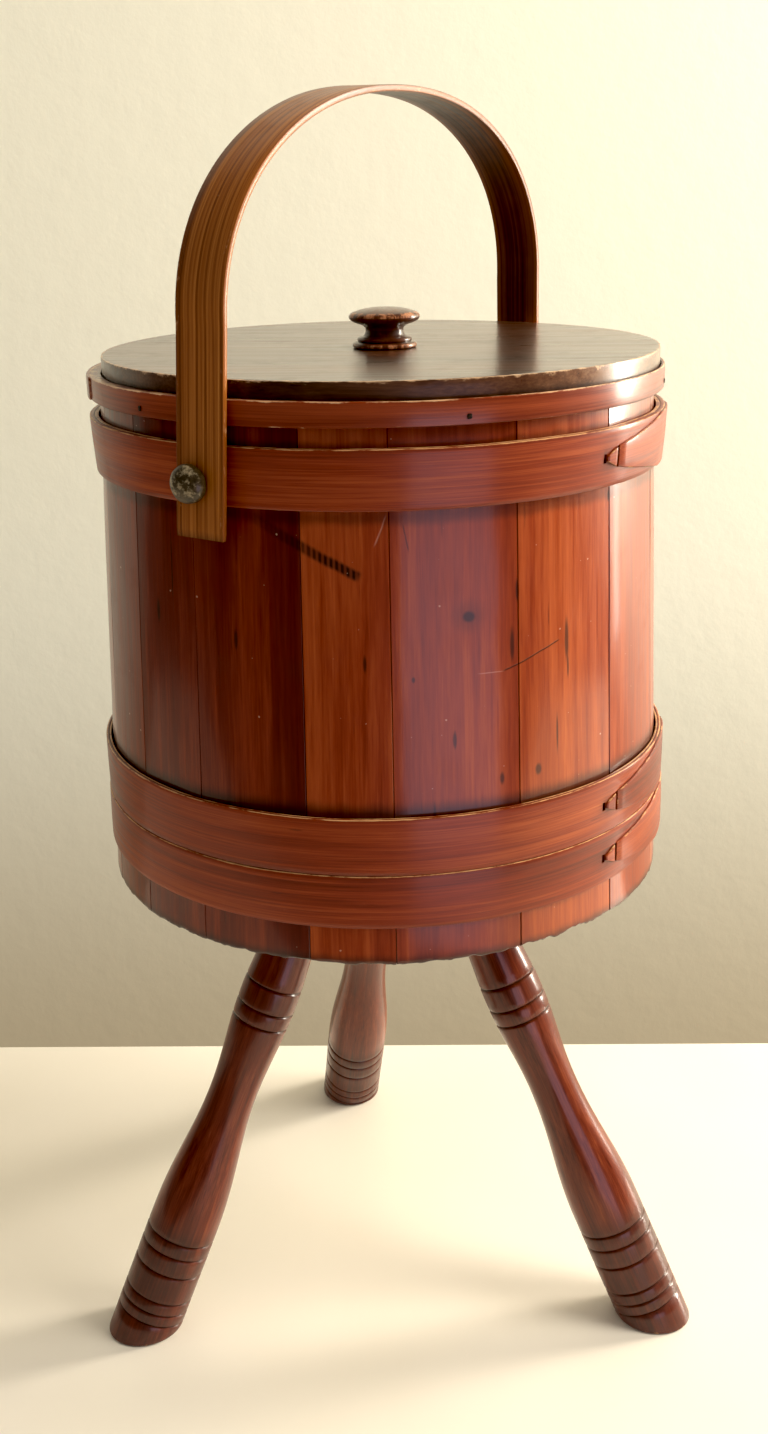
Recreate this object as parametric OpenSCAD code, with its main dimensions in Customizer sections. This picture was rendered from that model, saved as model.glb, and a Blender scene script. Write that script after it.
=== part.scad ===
// Covered stave bucket on three splayed turned legs, with a bentwood bail
// handle, three locked wooden hoops, a banded lid and a turned knob.
// +Z is up, the floor is z = 0 and X runs along the common axis of the two
// handle pins. Millimetres throughout.

/* [Bucket] */
// Outside radius of the staves at the bottom edge
body_r_bottom = 155.1; // [152:0.1:158]
// Outside radius of the staves at the top edge
body_r_top = 144.9; // [143:0.1:146]
// Height of the staves' bottom edge above the floor
body_z_bottom = 278.8; // [270:0.1:290]
// Height of the staves' top edge above the floor
body_z_top = 540.9; // [539:0.1:541]
// Thickness of a stave
stave_t = 13; // [11:0.5:15]

/* [Bottom board] */
// Height of the board's underside
board_z = 289; // [286:0.5:294]
// Thickness of the board
board_t = 20; // [16:1:22]
// Depth of the croze groove that holds the board's edge
croze_d = 5; // [3:0.5:6]
// Height of the croze groove
croze_h = 8; // [6:1:10]

/* [Hoops] */
// Bottom edge of the top hoop
top_hoop_z = 503.1; // [500:0.1:505]
// Width of the top hoop
top_hoop_w = 27.9; // [24:0.1:30]
// Bottom edge of the middle hoop
middle_hoop_z = 327.3; // [327.2:0.1:330]
// Width of the middle hoop
middle_hoop_w = 29.3; // [26:0.1:31]
// Bottom edge of the bottom hoop
bottom_hoop_z = 299.6; // [298:0.1:300]
// Width of the bottom hoop
bottom_hoop_w = 27.5; // [24:0.1:27.5]
// Thickness of the tongue where a hoop locks over itself
lap_t = 1.4; // [1:0.1:1.8]

/* [Lid] */
// Radius of the lid board
lid_r = 144.9; // [144:0.1:145.5]
// Thickness of the lid board at its rim
lid_t = 19.3; // [16:0.1:21]
// Depth of the step under the board that drops inside the staves
lid_step = 3.7; // [2:0.1:6]
// Height of the band round the lid board
band_h = 11.6; // [9:0.1:14]
// Thickness of the band round the lid board
band_t = 4.6; // [3:0.1:5]
// Radius of the knob's cap
knob_r = 18.6; // [16:0.1:20]
// Height of the knob above the lid
knob_h = 20.4; // [18:0.1:26]
// How far the middle of the lid board has sunk below its rim
lid_dish = 0.9; // [0:0.1:1.5]

/* [Handle] */
// Height of the pin axis above the floor
pin_z = 514.8; // [512:0.1:520]
// Half the handle's outside width at the pins
bail_half = 157; // [156.5:0.1:159]
// Half the handle's outside width where the arch starts
bail_arch_half = 152.5; // [152.5:0.1:156]
// Height of the arch's start above the pins
bail_straight = 68.5; // [60:0.5:70]
// Rise of the arch above its start
bail_rise = 103; // [95:0.5:110]
// Squareness of the arch, 2 for a half ellipse
bail_shape = 2.16; // [2:0.01:2.6]
// Width of the bent strip
bail_w = 26.9; // [22:0.1:27.5]
// Thickness of the bent strip
bail_t = 3.2; // [2.6:0.1:3.4]
// How far the strip's middle stands off the pins' axis, towards -Y
bail_off = 3.6; // [0:0.1:3.6]
// Length of the strip below the pins
bail_tail = 25.2; // [20:0.1:28]
// Lean of the handle from upright at rest
bail_lean = 1.1; // [0:0.1:3]
// Radius of the pins' shanks
pin_r = 4.75; // [4:0.05:5.5]
// Radius of the pins' domed heads
pin_head_r = 9.2; // [8:0.1:11]

/* [Legs] */
// Radius of the legs' lower part
foot_r = 20.2; // [18:0.1:22]
// Radius of the narrow waist
waist_r = 13.8; // [12:0.1:15]
// Radius of the upper swelling
bead_r = 17; // [16:0.1:18]
// Radius at the top, just under the board
neck_r = 11.5; // [11:0.1:13]
// Radius of the tenon in the board
tenon_r = 10.5; // [9.5:0.1:10.8]
// Depth of the turned grooves
groove_d = 0.9; // [0.4:0.1:1.4]

/* [Hidden] */

// The bucket's axis, set back from the origin, which is the centre of the
// whole object's footprint box on the floor.
axis_y = 16.3;

// Where each stave starts, as an angle from +X. The widths vary, as split
// and jointed staves do. The last one closes the ring.
joint = [175.9, 198.1, 214, 237.9, 261.2, 282.4, 304.4, 325.9, 349.4,
  370.9, 393.4, 415.4, 438.4, 460.4, 482.9, 501.9, 518.9, 535.9];

// Each leg: radius and angle of its foot on the floor, then radius and
// angle where its axis passes the staves' bottom edge.
leg_fl = [167.8, 150, 45.9, 158.1];
leg_fr = [171.9, 276.2, 44.7, 271.2];
leg_bk = [169.9, 42.4, 44, 33.9];
aim_z = 278;

// The lid rests just on the staves' top edge. Its board sits a little to
// one side in the band, which is lapped double on the other side, and the
// knob is off centre too.
lid_z = body_z_top + 0.1;
board_off = [1.2, -1.9];
knob_off = [1.0, -4.7];

// Stations along a leg, from the floor.
belly_s = 74;
waist_s = 158;
bead_s = 212;
neck_s = 309;
foot_grooves = [11, 18, 25.5, 43, 55, 64];
upper_grooves = [202.5, 212, 226.5];

// Locked laps: angle of the slit where the tongue's neck goes in, angle of
// the second slit, and angle where the lap ends.
slit_a = 261.7;
slit2_a = 288.9;
lap_end = 297;

staves_col = [0.42, 0.16, 0.08];
hoop_col = [0.45, 0.2, 0.1];
leg_col = [0.3, 0.12, 0.07];

fine = 96;
taper = (body_r_bottom - body_r_top) / (body_z_top - body_z_bottom);

function body_r(z) = body_r_bottom - taper * (z - body_z_bottom);
function ease(a, b, t) = a + (b - a) * (1 - cos(180 * t)) / 2;
function leg_r(s) =
    s < belly_s ? foot_r :
    s < waist_s ? ease(foot_r, waist_r, (s - belly_s) / (waist_s - belly_s)) :
    s < bead_s ? ease(waist_r, bead_r, (s - waist_s) / (bead_s - waist_s)) :
    s < bead_s + 10 ? bead_r :
    bead_r + (neck_r - bead_r) * (s - bead_s - 10) / (neck_s - bead_s - 10);

// ---- staves and bottom ----

module stave_section() {
  polygon([
    [body_r(body_z_bottom), body_z_bottom],
    [body_r(body_z_top - 1.4), body_z_top - 1.4],
    [body_r(body_z_top) - 1.2, body_z_top],
    [body_r(body_z_top) - stave_t, body_z_top],
    [body_r(board_z + 8 + croze_h) - stave_t, board_z + 8 + croze_h + 0.1],
    [body_r(board_z + 8) - stave_t + croze_d, board_z + 8 + croze_h + 0.1],
    [body_r(board_z + 8) - stave_t + croze_d, board_z + 7.9],
    [body_r(board_z + 8) - stave_t, board_z + 7.9],
    [body_r(body_z_bottom + 5) - stave_t, body_z_bottom + 5],
    [body_r(body_z_bottom) - stave_t + 3, body_z_bottom]]);
}

module stave(i) {
  color(staves_col)
    translate([0, axis_y, 0])
      rotate([0, 0, joint[i]])
        rotate_extrude(angle = joint[i + 1] - joint[i], $fn = fine)
          stave_section();
}

module pin_hole(a) {
  translate([0, axis_y, pin_z]) rotate([0, 0, a])
    translate([120, 0, 0]) rotate([0, 90, 0])
      cylinder(r = pin_r + 0.05, h = 45, $fn = 48);
}

module stave_01() {
  color(staves_col) difference() { stave(0); pin_hole(180); }
}
module stave_02() { stave(1); }
module stave_03() { stave(2); }
module stave_04() { stave(3); }
module stave_05() { stave(4); }
module stave_06() { stave(5); }
module stave_07() { stave(6); }
module stave_08() { stave(7); }
module stave_09() {
  color(staves_col) difference() { stave(8); pin_hole(0); }
}
module stave_10() { stave(9); }
module stave_11() { stave(10); }
module stave_12() { stave(11); }
module stave_13() { stave(12); }
module stave_14() { stave(13); }
module stave_15() { stave(14); }
module stave_16() { stave(15); }
module stave_17() { stave(16); }

module bottom_board() {
  inner = body_r(board_z + board_t) - stave_t - 0.2;
  tongue = body_r(board_z + 8) - stave_t + croze_d - 0.2;
  color([0.35, 0.2, 0.11])
    difference() {
      translate([0, axis_y, 0])
        rotate_extrude($fn = fine)
          polygon([[0, board_z], [inner, board_z], [inner, board_z + 8],
            [tongue, board_z + 8], [tongue, board_z + 8 + croze_h],
            [inner, board_z + 8 + croze_h], [inner, board_z + board_t],
            [0, board_z + board_t]]);
      for (l = [leg_fl, leg_fr, leg_bk])
        along_leg(l) translate([0, 0, 280]) rotate([0, 0, 45])
          cylinder(r = tenon_r + 0.05, h = 90, $fn = 48);
    }
}

// ---- hoops ----

module hoop_section(z, w, t_low, t_top, extra) {
  polygon([
    [body_r(z) + (extra > 0 ? t_low - 0.4 : 0), z],
    [body_r(z) + t_low + extra, z],
    [body_r(z + w) + t_top + extra, z + w],
    [body_r(z + w) + (extra > 0 ? t_top - 0.4 : 0), z + w]]);
}

// The tongue lies on the hoop, full width at the back and tapered to a
// neck at the slit. Its arrowhead shows past the slit.
module tongue(z, w, t_low, t_top) {
  r = body_r(z + w / 2) + (t_low + t_top) / 2;
  zc = z + w / 2;
  span = 20.5 * r * PI / 180;
  slope = atan((w / 2 - 5.5) / span);
  mid_a = slit_a + 10.6;
  difference() {
    rotate([0, 0, slit_a + 0.4])
      rotate_extrude(angle = lap_end - slit_a - 0.4, $fn = fine)
        hoop_section(z, w, t_low, t_top, lap_t);
    rotate([0, 0, mid_a]) translate([r - 10, 0, zc + (w / 2 + 5.5) / 2])
      rotate([slope, 0, 0]) translate([0, -70, 0]) cube([20, 100, 30]);
    rotate([0, 0, mid_a]) translate([r - 10, 0, zc - (w / 2 + 5.5) / 2])
      rotate([-slope, 0, 0]) translate([0, -70, -30]) cube([20, 100, 30]);
    rotate([0, 0, slit2_a])
      translate([r + 0.5, -0.5, zc - 4.5]) cube([5, 1, 9]);
  }
  // arrowhead
  intersection() {
    rotate([0, 0, slit_a - 3.4])
      rotate_extrude(angle = 3, $fn = fine)
        hoop_section(z, w, t_low, t_top, lap_t);
    rotate([0, 0, slit_a - 0.4]) translate([r - 10, 0, zc])
      rotate([0, 90, 0])
        linear_extrude(height = 20)
          polygon([[-5, 0.1], [5, 0.1], [1.2, -8], [-1.2, -8]]);
  }
}

module hoop(z, w, t_low, t_top) {
  r = body_r(z + w / 2) + (t_low + t_top) / 2;
  color(hoop_col)
    translate([0, axis_y, 0]) {
      difference() {
        rotate_extrude($fn = fine) hoop_section(z, w, t_low, t_top, 0);
        rotate([0, 0, slit_a])
          translate([r - 1.1, -0.9, z + w / 2 - 5]) cube([8, 1.6, 10]);
        rotate([0, 0, slit_a - 3.9])
          translate([r - 1.1, -1.2, z + w / 2 - 2.2]) cube([8, 2.2, 4.4]);
      }
      tongue(z, w, t_low, t_top);
    }
}

module bottom_hoop() { hoop(bottom_hoop_z, bottom_hoop_w, 1.6, 2.2); }
module middle_hoop() { hoop(middle_hoop_z, middle_hoop_w, 1.8, 3.1); }
module top_hoop() {
  color(hoop_col) difference() {
    hoop(top_hoop_z, top_hoop_w, 2.2, 5);
    pin_hole(180);
    pin_hole(0);
  }
}

// ---- legs ----

module along_leg(l) {
  fx = l[0] * cos(l[1]);
  fy = l[0] * sin(l[1]);
  dx = l[2] * cos(l[3]) - fx;
  dy = l[2] * sin(l[3]) - fy;
  tilt = atan(norm([dx, dy]) / aim_z);
  translate([fx, fy + axis_y, 0]) rotate([0, tilt, atan2(dy, dx)])
    children();
}

module leg_profile() {
  polygon(concat(
    [[0, -16], [foot_r, -16]],
    [for (g = foot_grooves) each
      [[foot_r, g - 1], [foot_r - groove_d, g], [foot_r, g + 1]]],
    [for (s = [belly_s : 6 : 200]) [leg_r(s), s]],
    [for (g = upper_grooves) each
      [[leg_r(g - 1), g - 1], [leg_r(g) - groove_d, g], [leg_r(g + 1), g + 1]]],
    [[neck_r, neck_s], [tenon_r, neck_s], [tenon_r, 350], [0, 350]]));
}

module leg(l) {
  color(leg_col)
    difference() {
      along_leg(l) rotate([0, 0, 45]) rotate_extrude($fn = fine) leg_profile();
      translate([-250, -250, -60]) cube([500, 500, 60]);
      translate([-250, -250, board_z + board_t]) cube([500, 500, 80]);
    }
}

module leg_front_left() { leg(leg_fl); }
module leg_front_right() { leg(leg_fr); }
module leg_back() { leg(leg_bk); }

// ---- handle ----

function arch_u(t) = bail_arch_half * sign(cos(t)) * pow(abs(cos(t)), 2 / bail_shape);
function arch_v(t) = bail_straight + bail_rise * pow(abs(sin(t)), 2 / bail_shape);
splay = (bail_half - bail_arch_half) / bail_straight;
outer = concat(
  [[bail_half + splay * bail_tail, -bail_tail]],
  [for (i = [0 : 60]) [arch_u(i * 3), arch_v(i * 3)]],
  [[-bail_half - splay * bail_tail, -bail_tail]]);
function dir(i) = let (a = outer[max(i - 1, 0)],
  b = outer[min(i + 1, len(outer) - 1)], d = b - a) d / norm(d);
inner = [for (i = [0 : len(outer) - 1])
  outer[i] + bail_t * [-dir(i)[1], dir(i)[0]]];

module handle() {
  color([0.5, 0.26, 0.11])
    translate([0, axis_y, pin_z]) rotate([bail_lean, 0, 0])
      difference() {
        rotate([90, 0, 0])
          translate([0, 0, bail_off - bail_w / 2])
            linear_extrude(height = bail_w)
              polygon(concat(outer,
                [for (i = [len(inner) - 1 : -1 : 0]) inner[i]]));
        rotate([0, 90, 0])
          translate([0, 0, -180])
            cylinder(r = pin_r + 0.05, h = 360, $fn = 48);
      }
}

module pin() {
  rotate([0, 90, 0]) rotate_extrude($fn = 48)
    polygon([[0, 133], [pin_r, 133], [pin_r, bail_half + 0.7],
      [pin_head_r - 1, bail_half + 0.7],
      [pin_head_r - 0.2, bail_half + 1.6],
      [pin_head_r, bail_half + 3.5],
      [pin_head_r * 0.93, bail_half + 5.5],
      [pin_head_r * 0.76, bail_half + 7.4],
      [pin_head_r * 0.5, bail_half + 8.8],
      [pin_head_r * 0.2, bail_half + 9.4],
      [0, bail_half + 9.5]]);
}
module pin_front() {
  color([0.2, 0.15, 0.08])
    translate([0, axis_y, pin_z]) rotate([0, 0, 180]) pin();
}
module pin_rear() {
  color([0.2, 0.15, 0.08]) translate([0, axis_y, pin_z]) pin();
}

// ---- lid ----

module lid_board() {
  plug = body_r(body_z_top) - stave_t - 1.2;
  color([0.3, 0.17, 0.09])
    translate([0, axis_y, 0])
      difference() {
        union() {
          translate([board_off[0], board_off[1], 0])
            rotate_extrude($fn = fine)
              polygon([[0, lid_z], [lid_r, lid_z],
                [lid_r, lid_z + lid_t - 1.2],
                [lid_r - 1.2, lid_z + lid_t],
                [0, lid_z + lid_t - lid_dish]]);
          translate([0, 0, lid_z - lid_step])
            cylinder(r = plug, h = lid_step + 1, $fn = fine);
        }
        translate([knob_off[0], knob_off[1], lid_z - 10])
          cylinder(r = 6.05, h = 60, $fn = 48);
        for (a = band_nail_a) rotate([0, 0, a])
          translate([lid_r - 16, 0, lid_z + 3]) rotate([0, 90, 0])
            cylinder(r = 0.75, h = 30, $fn = 24);
      }
}

band_z = lid_z - 0.8;
band_nail_a = [164.8, 228.1, 288, 348, 48, 107];

module lid_band() {
  color(hoop_col)
    translate([0, axis_y, 0])
      difference() {
        union() {
          difference() {
            translate([0, 0, band_z])
              cylinder(r = lid_r + 0.05 + band_t, h = band_h, $fn = fine);
            translate([0, 0, band_z - 1])
              cylinder(r = lid_r + 0.05, h = lid_z - band_z + 1, $fn = fine);
            translate([board_off[0], board_off[1], lid_z])
              cylinder(r = lid_r + 0.05, h = 30, $fn = fine);
          }
          rotate([0, 0, 100])
            rotate_extrude(angle = 40, $fn = fine)
              translate([lid_r + band_t - 0.5, band_z])
                square([1.5, band_h]);
        }
        for (a = band_nail_a) rotate([0, 0, a])
          translate([lid_r - 16, 0, lid_z + 3]) rotate([0, 90, 0])
            cylinder(r = 0.75, h = 30, $fn = 24);
      }
}

module lid_band_nails() {
  color([0.1, 0.09, 0.08])
    translate([0, axis_y, 0])
      for (a = band_nail_a) rotate([0, 0, a])
        translate([lid_r - 14, 0, lid_z + 3]) {
          // the one in the band's lap stands further out
          out = 14.1 + band_t + (a > 100 && a < 140 ? 1 : 0);
          rotate([0, 90, 0]) cylinder(r = 0.7, h = out - 0.2, $fn = 24);
          translate([out, -1.2, -1.2]) cube([0.5, 2.4, 2.4]);
          translate([out - 0.6, 0, 0]) rotate([0, 90, 0])
            cylinder(r = 0.7, h = 0.8, $fn = 24);
        }
}

module knob() {
  z0 = lid_z + lid_t - lid_dish + 0.1;
  k = knob_h / 22;
  color([0.32, 0.15, 0.09])
    translate([knob_off[0], axis_y + knob_off[1], z0])
      rotate_extrude($fn = fine)
        polygon([[0, -lid_t], [6, -lid_t], [6, 0],
          [16.5, 0], [17.1, 1.3 * k], [16.3, 2.7 * k], [13.9, 3.2 * k],
          [14.2, 4.5 * k], [13, 5.6 * k], [10.9, 6.6 * k],
          [10.4, 8.2 * k], [10, 9.8 * k], [10.5, 11.2 * k],
          [12.4, 12.5 * k], [knob_r - 3, 13.7 * k], [knob_r - 0.9, 15 * k],
          [knob_r, 16.8 * k], [knob_r - 0.8, 18.4 * k],
          [knob_r - 3.2, 19.7 * k], [knob_r - 7.4, 20.9 * k],
          [6.2, 21.7 * k], [0, 22 * k]]);
}

stave_01();
stave_02();
stave_03();
stave_04();
stave_05();
stave_06();
stave_07();
stave_08();
stave_09();
stave_10();
stave_11();
stave_12();
stave_13();
stave_14();
stave_15();
stave_16();
stave_17();
bottom_board();
bottom_hoop();
middle_hoop();
top_hoop();
leg_front_left();
leg_front_right();
leg_back();
pin_front();
pin_rear();
handle();
lid_board();
lid_band();
lid_band_nails();
knob();
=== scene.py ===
import math

import bpy
import numpy as np
from mathutils import Matrix, Vector


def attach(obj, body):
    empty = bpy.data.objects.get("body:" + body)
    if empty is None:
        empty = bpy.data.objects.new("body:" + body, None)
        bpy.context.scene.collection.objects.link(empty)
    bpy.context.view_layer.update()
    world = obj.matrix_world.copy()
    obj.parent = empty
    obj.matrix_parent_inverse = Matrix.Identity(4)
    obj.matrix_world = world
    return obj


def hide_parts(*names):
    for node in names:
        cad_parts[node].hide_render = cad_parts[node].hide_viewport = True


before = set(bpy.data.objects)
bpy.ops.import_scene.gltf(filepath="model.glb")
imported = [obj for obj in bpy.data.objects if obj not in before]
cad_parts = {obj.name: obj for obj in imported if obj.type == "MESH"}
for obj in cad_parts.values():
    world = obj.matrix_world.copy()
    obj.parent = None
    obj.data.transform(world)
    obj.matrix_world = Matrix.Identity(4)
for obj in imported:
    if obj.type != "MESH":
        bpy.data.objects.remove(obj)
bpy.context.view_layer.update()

# Lengths are millimetres in this script, and metres in every mesh.
AY = 16.3          # the bucket's axis is at x = 0, y = AY
Z_BOTTOM, Z_TOP = 278.8, 540.9
R_BOTTOM, R_TOP = 155.1, 144.9
STAVE_T = 13.0
VIEW_A = 212.4     # object angle that faces the camera
PIN_Z = 514.8

JOINTS = [175.9, 198.1, 214, 237.9, 261.2, 282.4, 304.4, 325.9, 349.4, 370.9,
          393.4, 415.4, 438.4, 460.4, 482.9, 501.9, 518.9, 535.9]
SLIT_A, SLIT2_A, LAP_END = 261.7, 288.9, 297.0


def body_r(z):
    return R_BOTTOM - (R_BOTTOM - R_TOP) / (Z_TOP - Z_BOTTOM) * (z - Z_BOTTOM)


# ---------------------------------------------------------------- camera

cam_data = bpy.data.cameras.new("camera")
cam = bpy.data.objects.new("camera", cam_data)
bpy.context.scene.collection.objects.link(cam)
cam_data.sensor_fit = "AUTO"
cam_data.sensor_width = 36.0
cam_data.lens = 36.0 * 1539.4 / 1434.0
cam_data.clip_start, cam_data.clip_end = 0.01, 60.0
yaw, pitch, roll = math.radians(-0.027), math.radians(-19.519), -0.019025
f2 = Matrix.Rotation(yaw, 2) @ Vector((0.84433, 0.53583))
fwd = Vector((f2.x * math.cos(pitch), f2.y * math.cos(pitch), math.sin(pitch)))
side = Vector((f2.y, -f2.x, 0)).normalized()
up = side.cross(fwd).normalized()
cam_r = side * math.cos(roll) + up * math.sin(roll)
cam_u = -side * math.sin(roll) + up * math.cos(roll)
m = Matrix.Identity(4)
for i in range(3):
    m[i][0], m[i][1], m[i][2] = cam_r[i], cam_u[i], -fwd[i]
m[0][3], m[1][3], m[2][3] = -0.6966, -0.4258, 0.64604
cam.matrix_world = m
bpy.context.scene.camera = cam


# ---------------------------------------------------------------- meshes

class Mesh:
    """Collects quads with corner attributes: gr, the wood's grain space in metres
    (across, depth, along), and ax, (wear, dirt, tone); dirt also carries painted shade in the hoop slits, and tone
    painted shade on the left-hand staves and painted light on the lid rim."""

    def __init__(self):
        self.v, self.f, self.g, self.a = [], [], [], []
        self.n = 0

    def _close(self, start_f, flip_check):
        pass

    def grid(self, P, G, A=None, cu=False, cv=False, cap0=False, cap1=False,
             point0=None, point1=None):
        """P[i, j] is a lattice of points. cu and cv close it along i and j.
        G and A have one more row when cu is set, for the wrapped column."""
        P = np.asarray(P, float)
        n, m = P.shape[:2]
        G = np.asarray(G, float)
        if A is None:
            A = np.zeros(G.shape)
        A = np.asarray(A, float)
        base = self.n
        idx = np.arange(n * m).reshape(n, m) + base
        faces, gs, as_ = [], [], []
        ni = n if cu else n - 1
        nj = m if cv else m - 1
        for i in range(ni):
            i2 = (i + 1) % n
            gi2 = i + 1
            for j in range(nj):
                j2 = (j + 1) % m
                faces.append((idx[i, j], idx[i2, j], idx[i2, j2], idx[i, j2]))
                gs.append((G[i, j], G[gi2, j], G[gi2, j2], G[i, j2]))
                as_.append((A[i, j], A[gi2, j], A[gi2, j2], A[i, j2]))
        if cap0:
            faces.append(tuple(idx[0, :]))
            gs.append(tuple(G[0, :]))
            as_.append(tuple(A[0, :]))
        if cap1:
            faces.append(tuple(idx[n - 1, ::-1]))
            gs.append(tuple(G[n - 1, ::-1]))
            as_.append(tuple(A[n - 1, ::-1]))
        pts = P.reshape(-1, 3)
        extra = []
        # a point that closes the rings j = 0 or j = m - 1
        for which, j in ((point0, 0), (point1, m - 1)):
            if which is None:
                continue
            k = base + n * m + len(extra)
            pt, gpt = which
            extra.append(pt)
            for i in range(ni):
                i2 = (i + 1) % n
                if j == 0:
                    faces.append((idx[i, 0], k, idx[i2, 0]))
                    gs.append((G[i, 0], np.asarray(gpt, float), G[i + 1, 0]))
                    as_.append((A[i, 0], A[i, 0], A[i + 1, 0]))
                else:
                    faces.append((idx[i, j], idx[i2, j], k))
                    gs.append((G[i, j], G[i + 1, j], np.asarray(gpt, float)))
                    as_.append((A[i, j], A[i + 1, j], A[i, j]))
        if extra:
            pts = np.vstack([pts, np.array(extra, float)])
        # outward winding, from the signed volume of this closed part
        allv = pts
        vol = 0.0
        for f in faces:
            q = allv[[k - base for k in f]]
            for t in range(1, len(q) - 1):
                vol += np.dot(q[0], np.cross(q[t], q[t + 1]))
        if vol < 0:
            faces = [tuple(reversed(f)) for f in faces]
            gs = [tuple(reversed(g)) for g in gs]
            as_ = [tuple(reversed(a)) for a in as_]
        self.v.extend(map(tuple, pts))
        self.f.extend(faces)
        self.g.extend(gs)
        self.a.extend(as_)
        self.n += len(pts)

    def build(self, name, mat, body, nodes, sharp=38.0):
        me = bpy.data.meshes.new(name)
        me.from_pydata([(x * 0.001, y * 0.001, z * 0.001) for x, y, z in self.v],
                       [], [tuple(int(k) for k in f) for f in self.f])
        me.update()
        g = np.array([c for f in self.g for c in f], np.float32) * 0.001
        a = np.array([c for f in self.a for c in f], np.float32)
        la = me.attributes.new("gr", "FLOAT_VECTOR", "CORNER")
        la.data.foreach_set("vector", g.ravel())
        lb = me.attributes.new("ax", "FLOAT_VECTOR", "CORNER")
        lb.data.foreach_set("vector", a.ravel())
        me.polygons.foreach_set("use_smooth", [True] * len(me.polygons))
        me.set_sharp_from_angle(angle=math.radians(sharp))
        me.materials.append(mat)
        ob = bpy.data.objects.new(name, me)
        bpy.context.scene.collection.objects.link(ob)
        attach(ob, body)
        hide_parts(*nodes)
        return ob


def wave_noise(seed, n=5, low=1, high=9):
    """Smooth noise round the ring, a sum of seeded cosines of the angle."""
    r = np.random.default_rng(seed)
    ks = r.integers(low, high + 1, n)
    ph = r.uniform(0, 2 * math.pi, n)
    am = r.uniform(0.4, 1.0, n)
    am = am / am.sum()

    def f(deg):
        t = np.radians(deg)
        return sum(a * np.cos(k * t + p) for a, k, p in zip(am, ks, ph))
    return f


def lattice(seed, step_deg):
    """Rougher noise round the ring, with one seeded value each step."""
    count = int(round(360 / step_deg))
    v = np.random.default_rng(seed).uniform(0, 1, count)

    def f(deg):
        x = (np.asarray(deg, float) % 360) / step_deg
        i = np.floor(x).astype(int)
        t = x - i
        t = t * t * (3 - 2 * t)
        return v[i % count] * (1 - t) + v[(i + 1) % count] * t
    return f


def bump1(x, c, w):
    """1 at c, smoothly 0 at c - w and c + w."""
    t = np.clip(1 - np.abs((np.asarray(x, float) - c) / w), 0, 1)
    return t * t * (3 - 2 * t)


def polar(r, deg, z):
    t = np.radians(deg)
    return np.stack(np.broadcast_arrays(r * np.cos(t), r * np.sin(t) + AY, z),
                    axis=-1)


# ---------------------------------------------------------------- shading

class Nodes:
    def __init__(self, name):
        self.mat = bpy.data.materials.new(name)
        self.mat.use_nodes = True
        self.t = self.mat.node_tree
        for n in list(self.t.nodes):
            self.t.nodes.remove(n)
        self.out = self.new("ShaderNodeOutputMaterial")
        self.bsdf = self.new("ShaderNodeBsdfPrincipled")
        self.t.links.new(self.bsdf.outputs[0], self.out.inputs[0])

    def new(self, kind):
        return self.t.nodes.new(kind)

    def put(self, sock, v):
        if isinstance(v, bpy.types.NodeSocket):
            self.t.links.new(v, sock)
        elif isinstance(v, (tuple, list)) and len(v) == 3 and sock.type == "RGBA":
            sock.default_value = (*v, 1.0)
        else:
            sock.default_value = v

    def attr(self, name):
        n = self.new("ShaderNodeAttribute")
        n.attribute_type = "GEOMETRY"
        n.attribute_name = name
        return n.outputs["Vector"]

    def obj(self):
        return self.new("ShaderNodeTexCoord").outputs["Object"]

    def split(self, v):
        n = self.new("ShaderNodeSeparateXYZ")
        self.put(n.inputs[0], v)
        return n.outputs

    def join(self, x, y, z):
        n = self.new("ShaderNodeCombineXYZ")
        for s, v in zip(n.inputs, (x, y, z)):
            self.put(s, v)
        return n.outputs[0]

    def m(self, op, a, b=0.0, c=0.0, clamp=False):
        n = self.new("ShaderNodeMath")
        n.operation = op
        n.use_clamp = clamp
        self.put(n.inputs[0], a)
        if len(n.inputs) > 1:
            self.put(n.inputs[1], b)
        if len(n.inputs) > 2:
            self.put(n.inputs[2], c)
        return n.outputs[0]

    def vm(self, op, a, b=(0, 0, 0)):
        n = self.new("ShaderNodeVectorMath")
        n.operation = op
        self.put(n.inputs[0], a)
        self.put(n.inputs[1], b)
        return n.outputs[1] if op in ("LENGTH", "DISTANCE", "DOT_PRODUCT") else n.outputs[0]

    def noise(self, vec, scale, detail=3.0, rough=0.55, dist=0.0):
        n = self.new("ShaderNodeTexNoise")
        self.put(n.inputs["Vector"], self.vm("MULTIPLY", vec, scale))
        n.inputs["Scale"].default_value = 1.0
        n.inputs["Detail"].default_value = detail
        n.inputs["Roughness"].default_value = rough
        n.inputs["Distortion"].default_value = dist
        return n.outputs[0]

    def span(self, x, a, b, c=0.0, d=1.0, smooth=True):
        n = self.new("ShaderNodeMapRange")
        n.interpolation_type = "SMOOTHSTEP" if smooth else "LINEAR"
        for i, v in zip(n.inputs, (x, a, b, c, d)):
            self.put(i, v)
        return n.outputs[0]

    def ramp(self, fac, stops):
        n = self.new("ShaderNodeValToRGB")
        e = n.color_ramp.elements
        while len(e) < len(stops):
            e.new(0.5)
        for k, (p, c) in zip(e, stops):
            k.position = p
            k.color = (*c, 1.0)
        self.put(n.inputs[0], fac)
        return n.outputs[0]

    def mix(self, fac, a, b, mode="MIX"):
        n = self.new("ShaderNodeMix")
        n.data_type = "RGBA"
        n.blend_type = mode
        n.clamp_factor = True
        self.put(n.inputs[0], fac)
        self.put(n.inputs[6], a)
        self.put(n.inputs[7], b)
        return n.outputs[2]

    def bump(self, height, dist, strength=1.0, normal=None):
        n = self.new("ShaderNodeBump")
        n.inputs["Strength"].default_value = strength
        n.inputs["Distance"].default_value = dist
        self.put(n.inputs["Height"], height)
        if normal is not None:
            self.put(n.inputs["Normal"], normal)
        return n.outputs[0]


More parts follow.
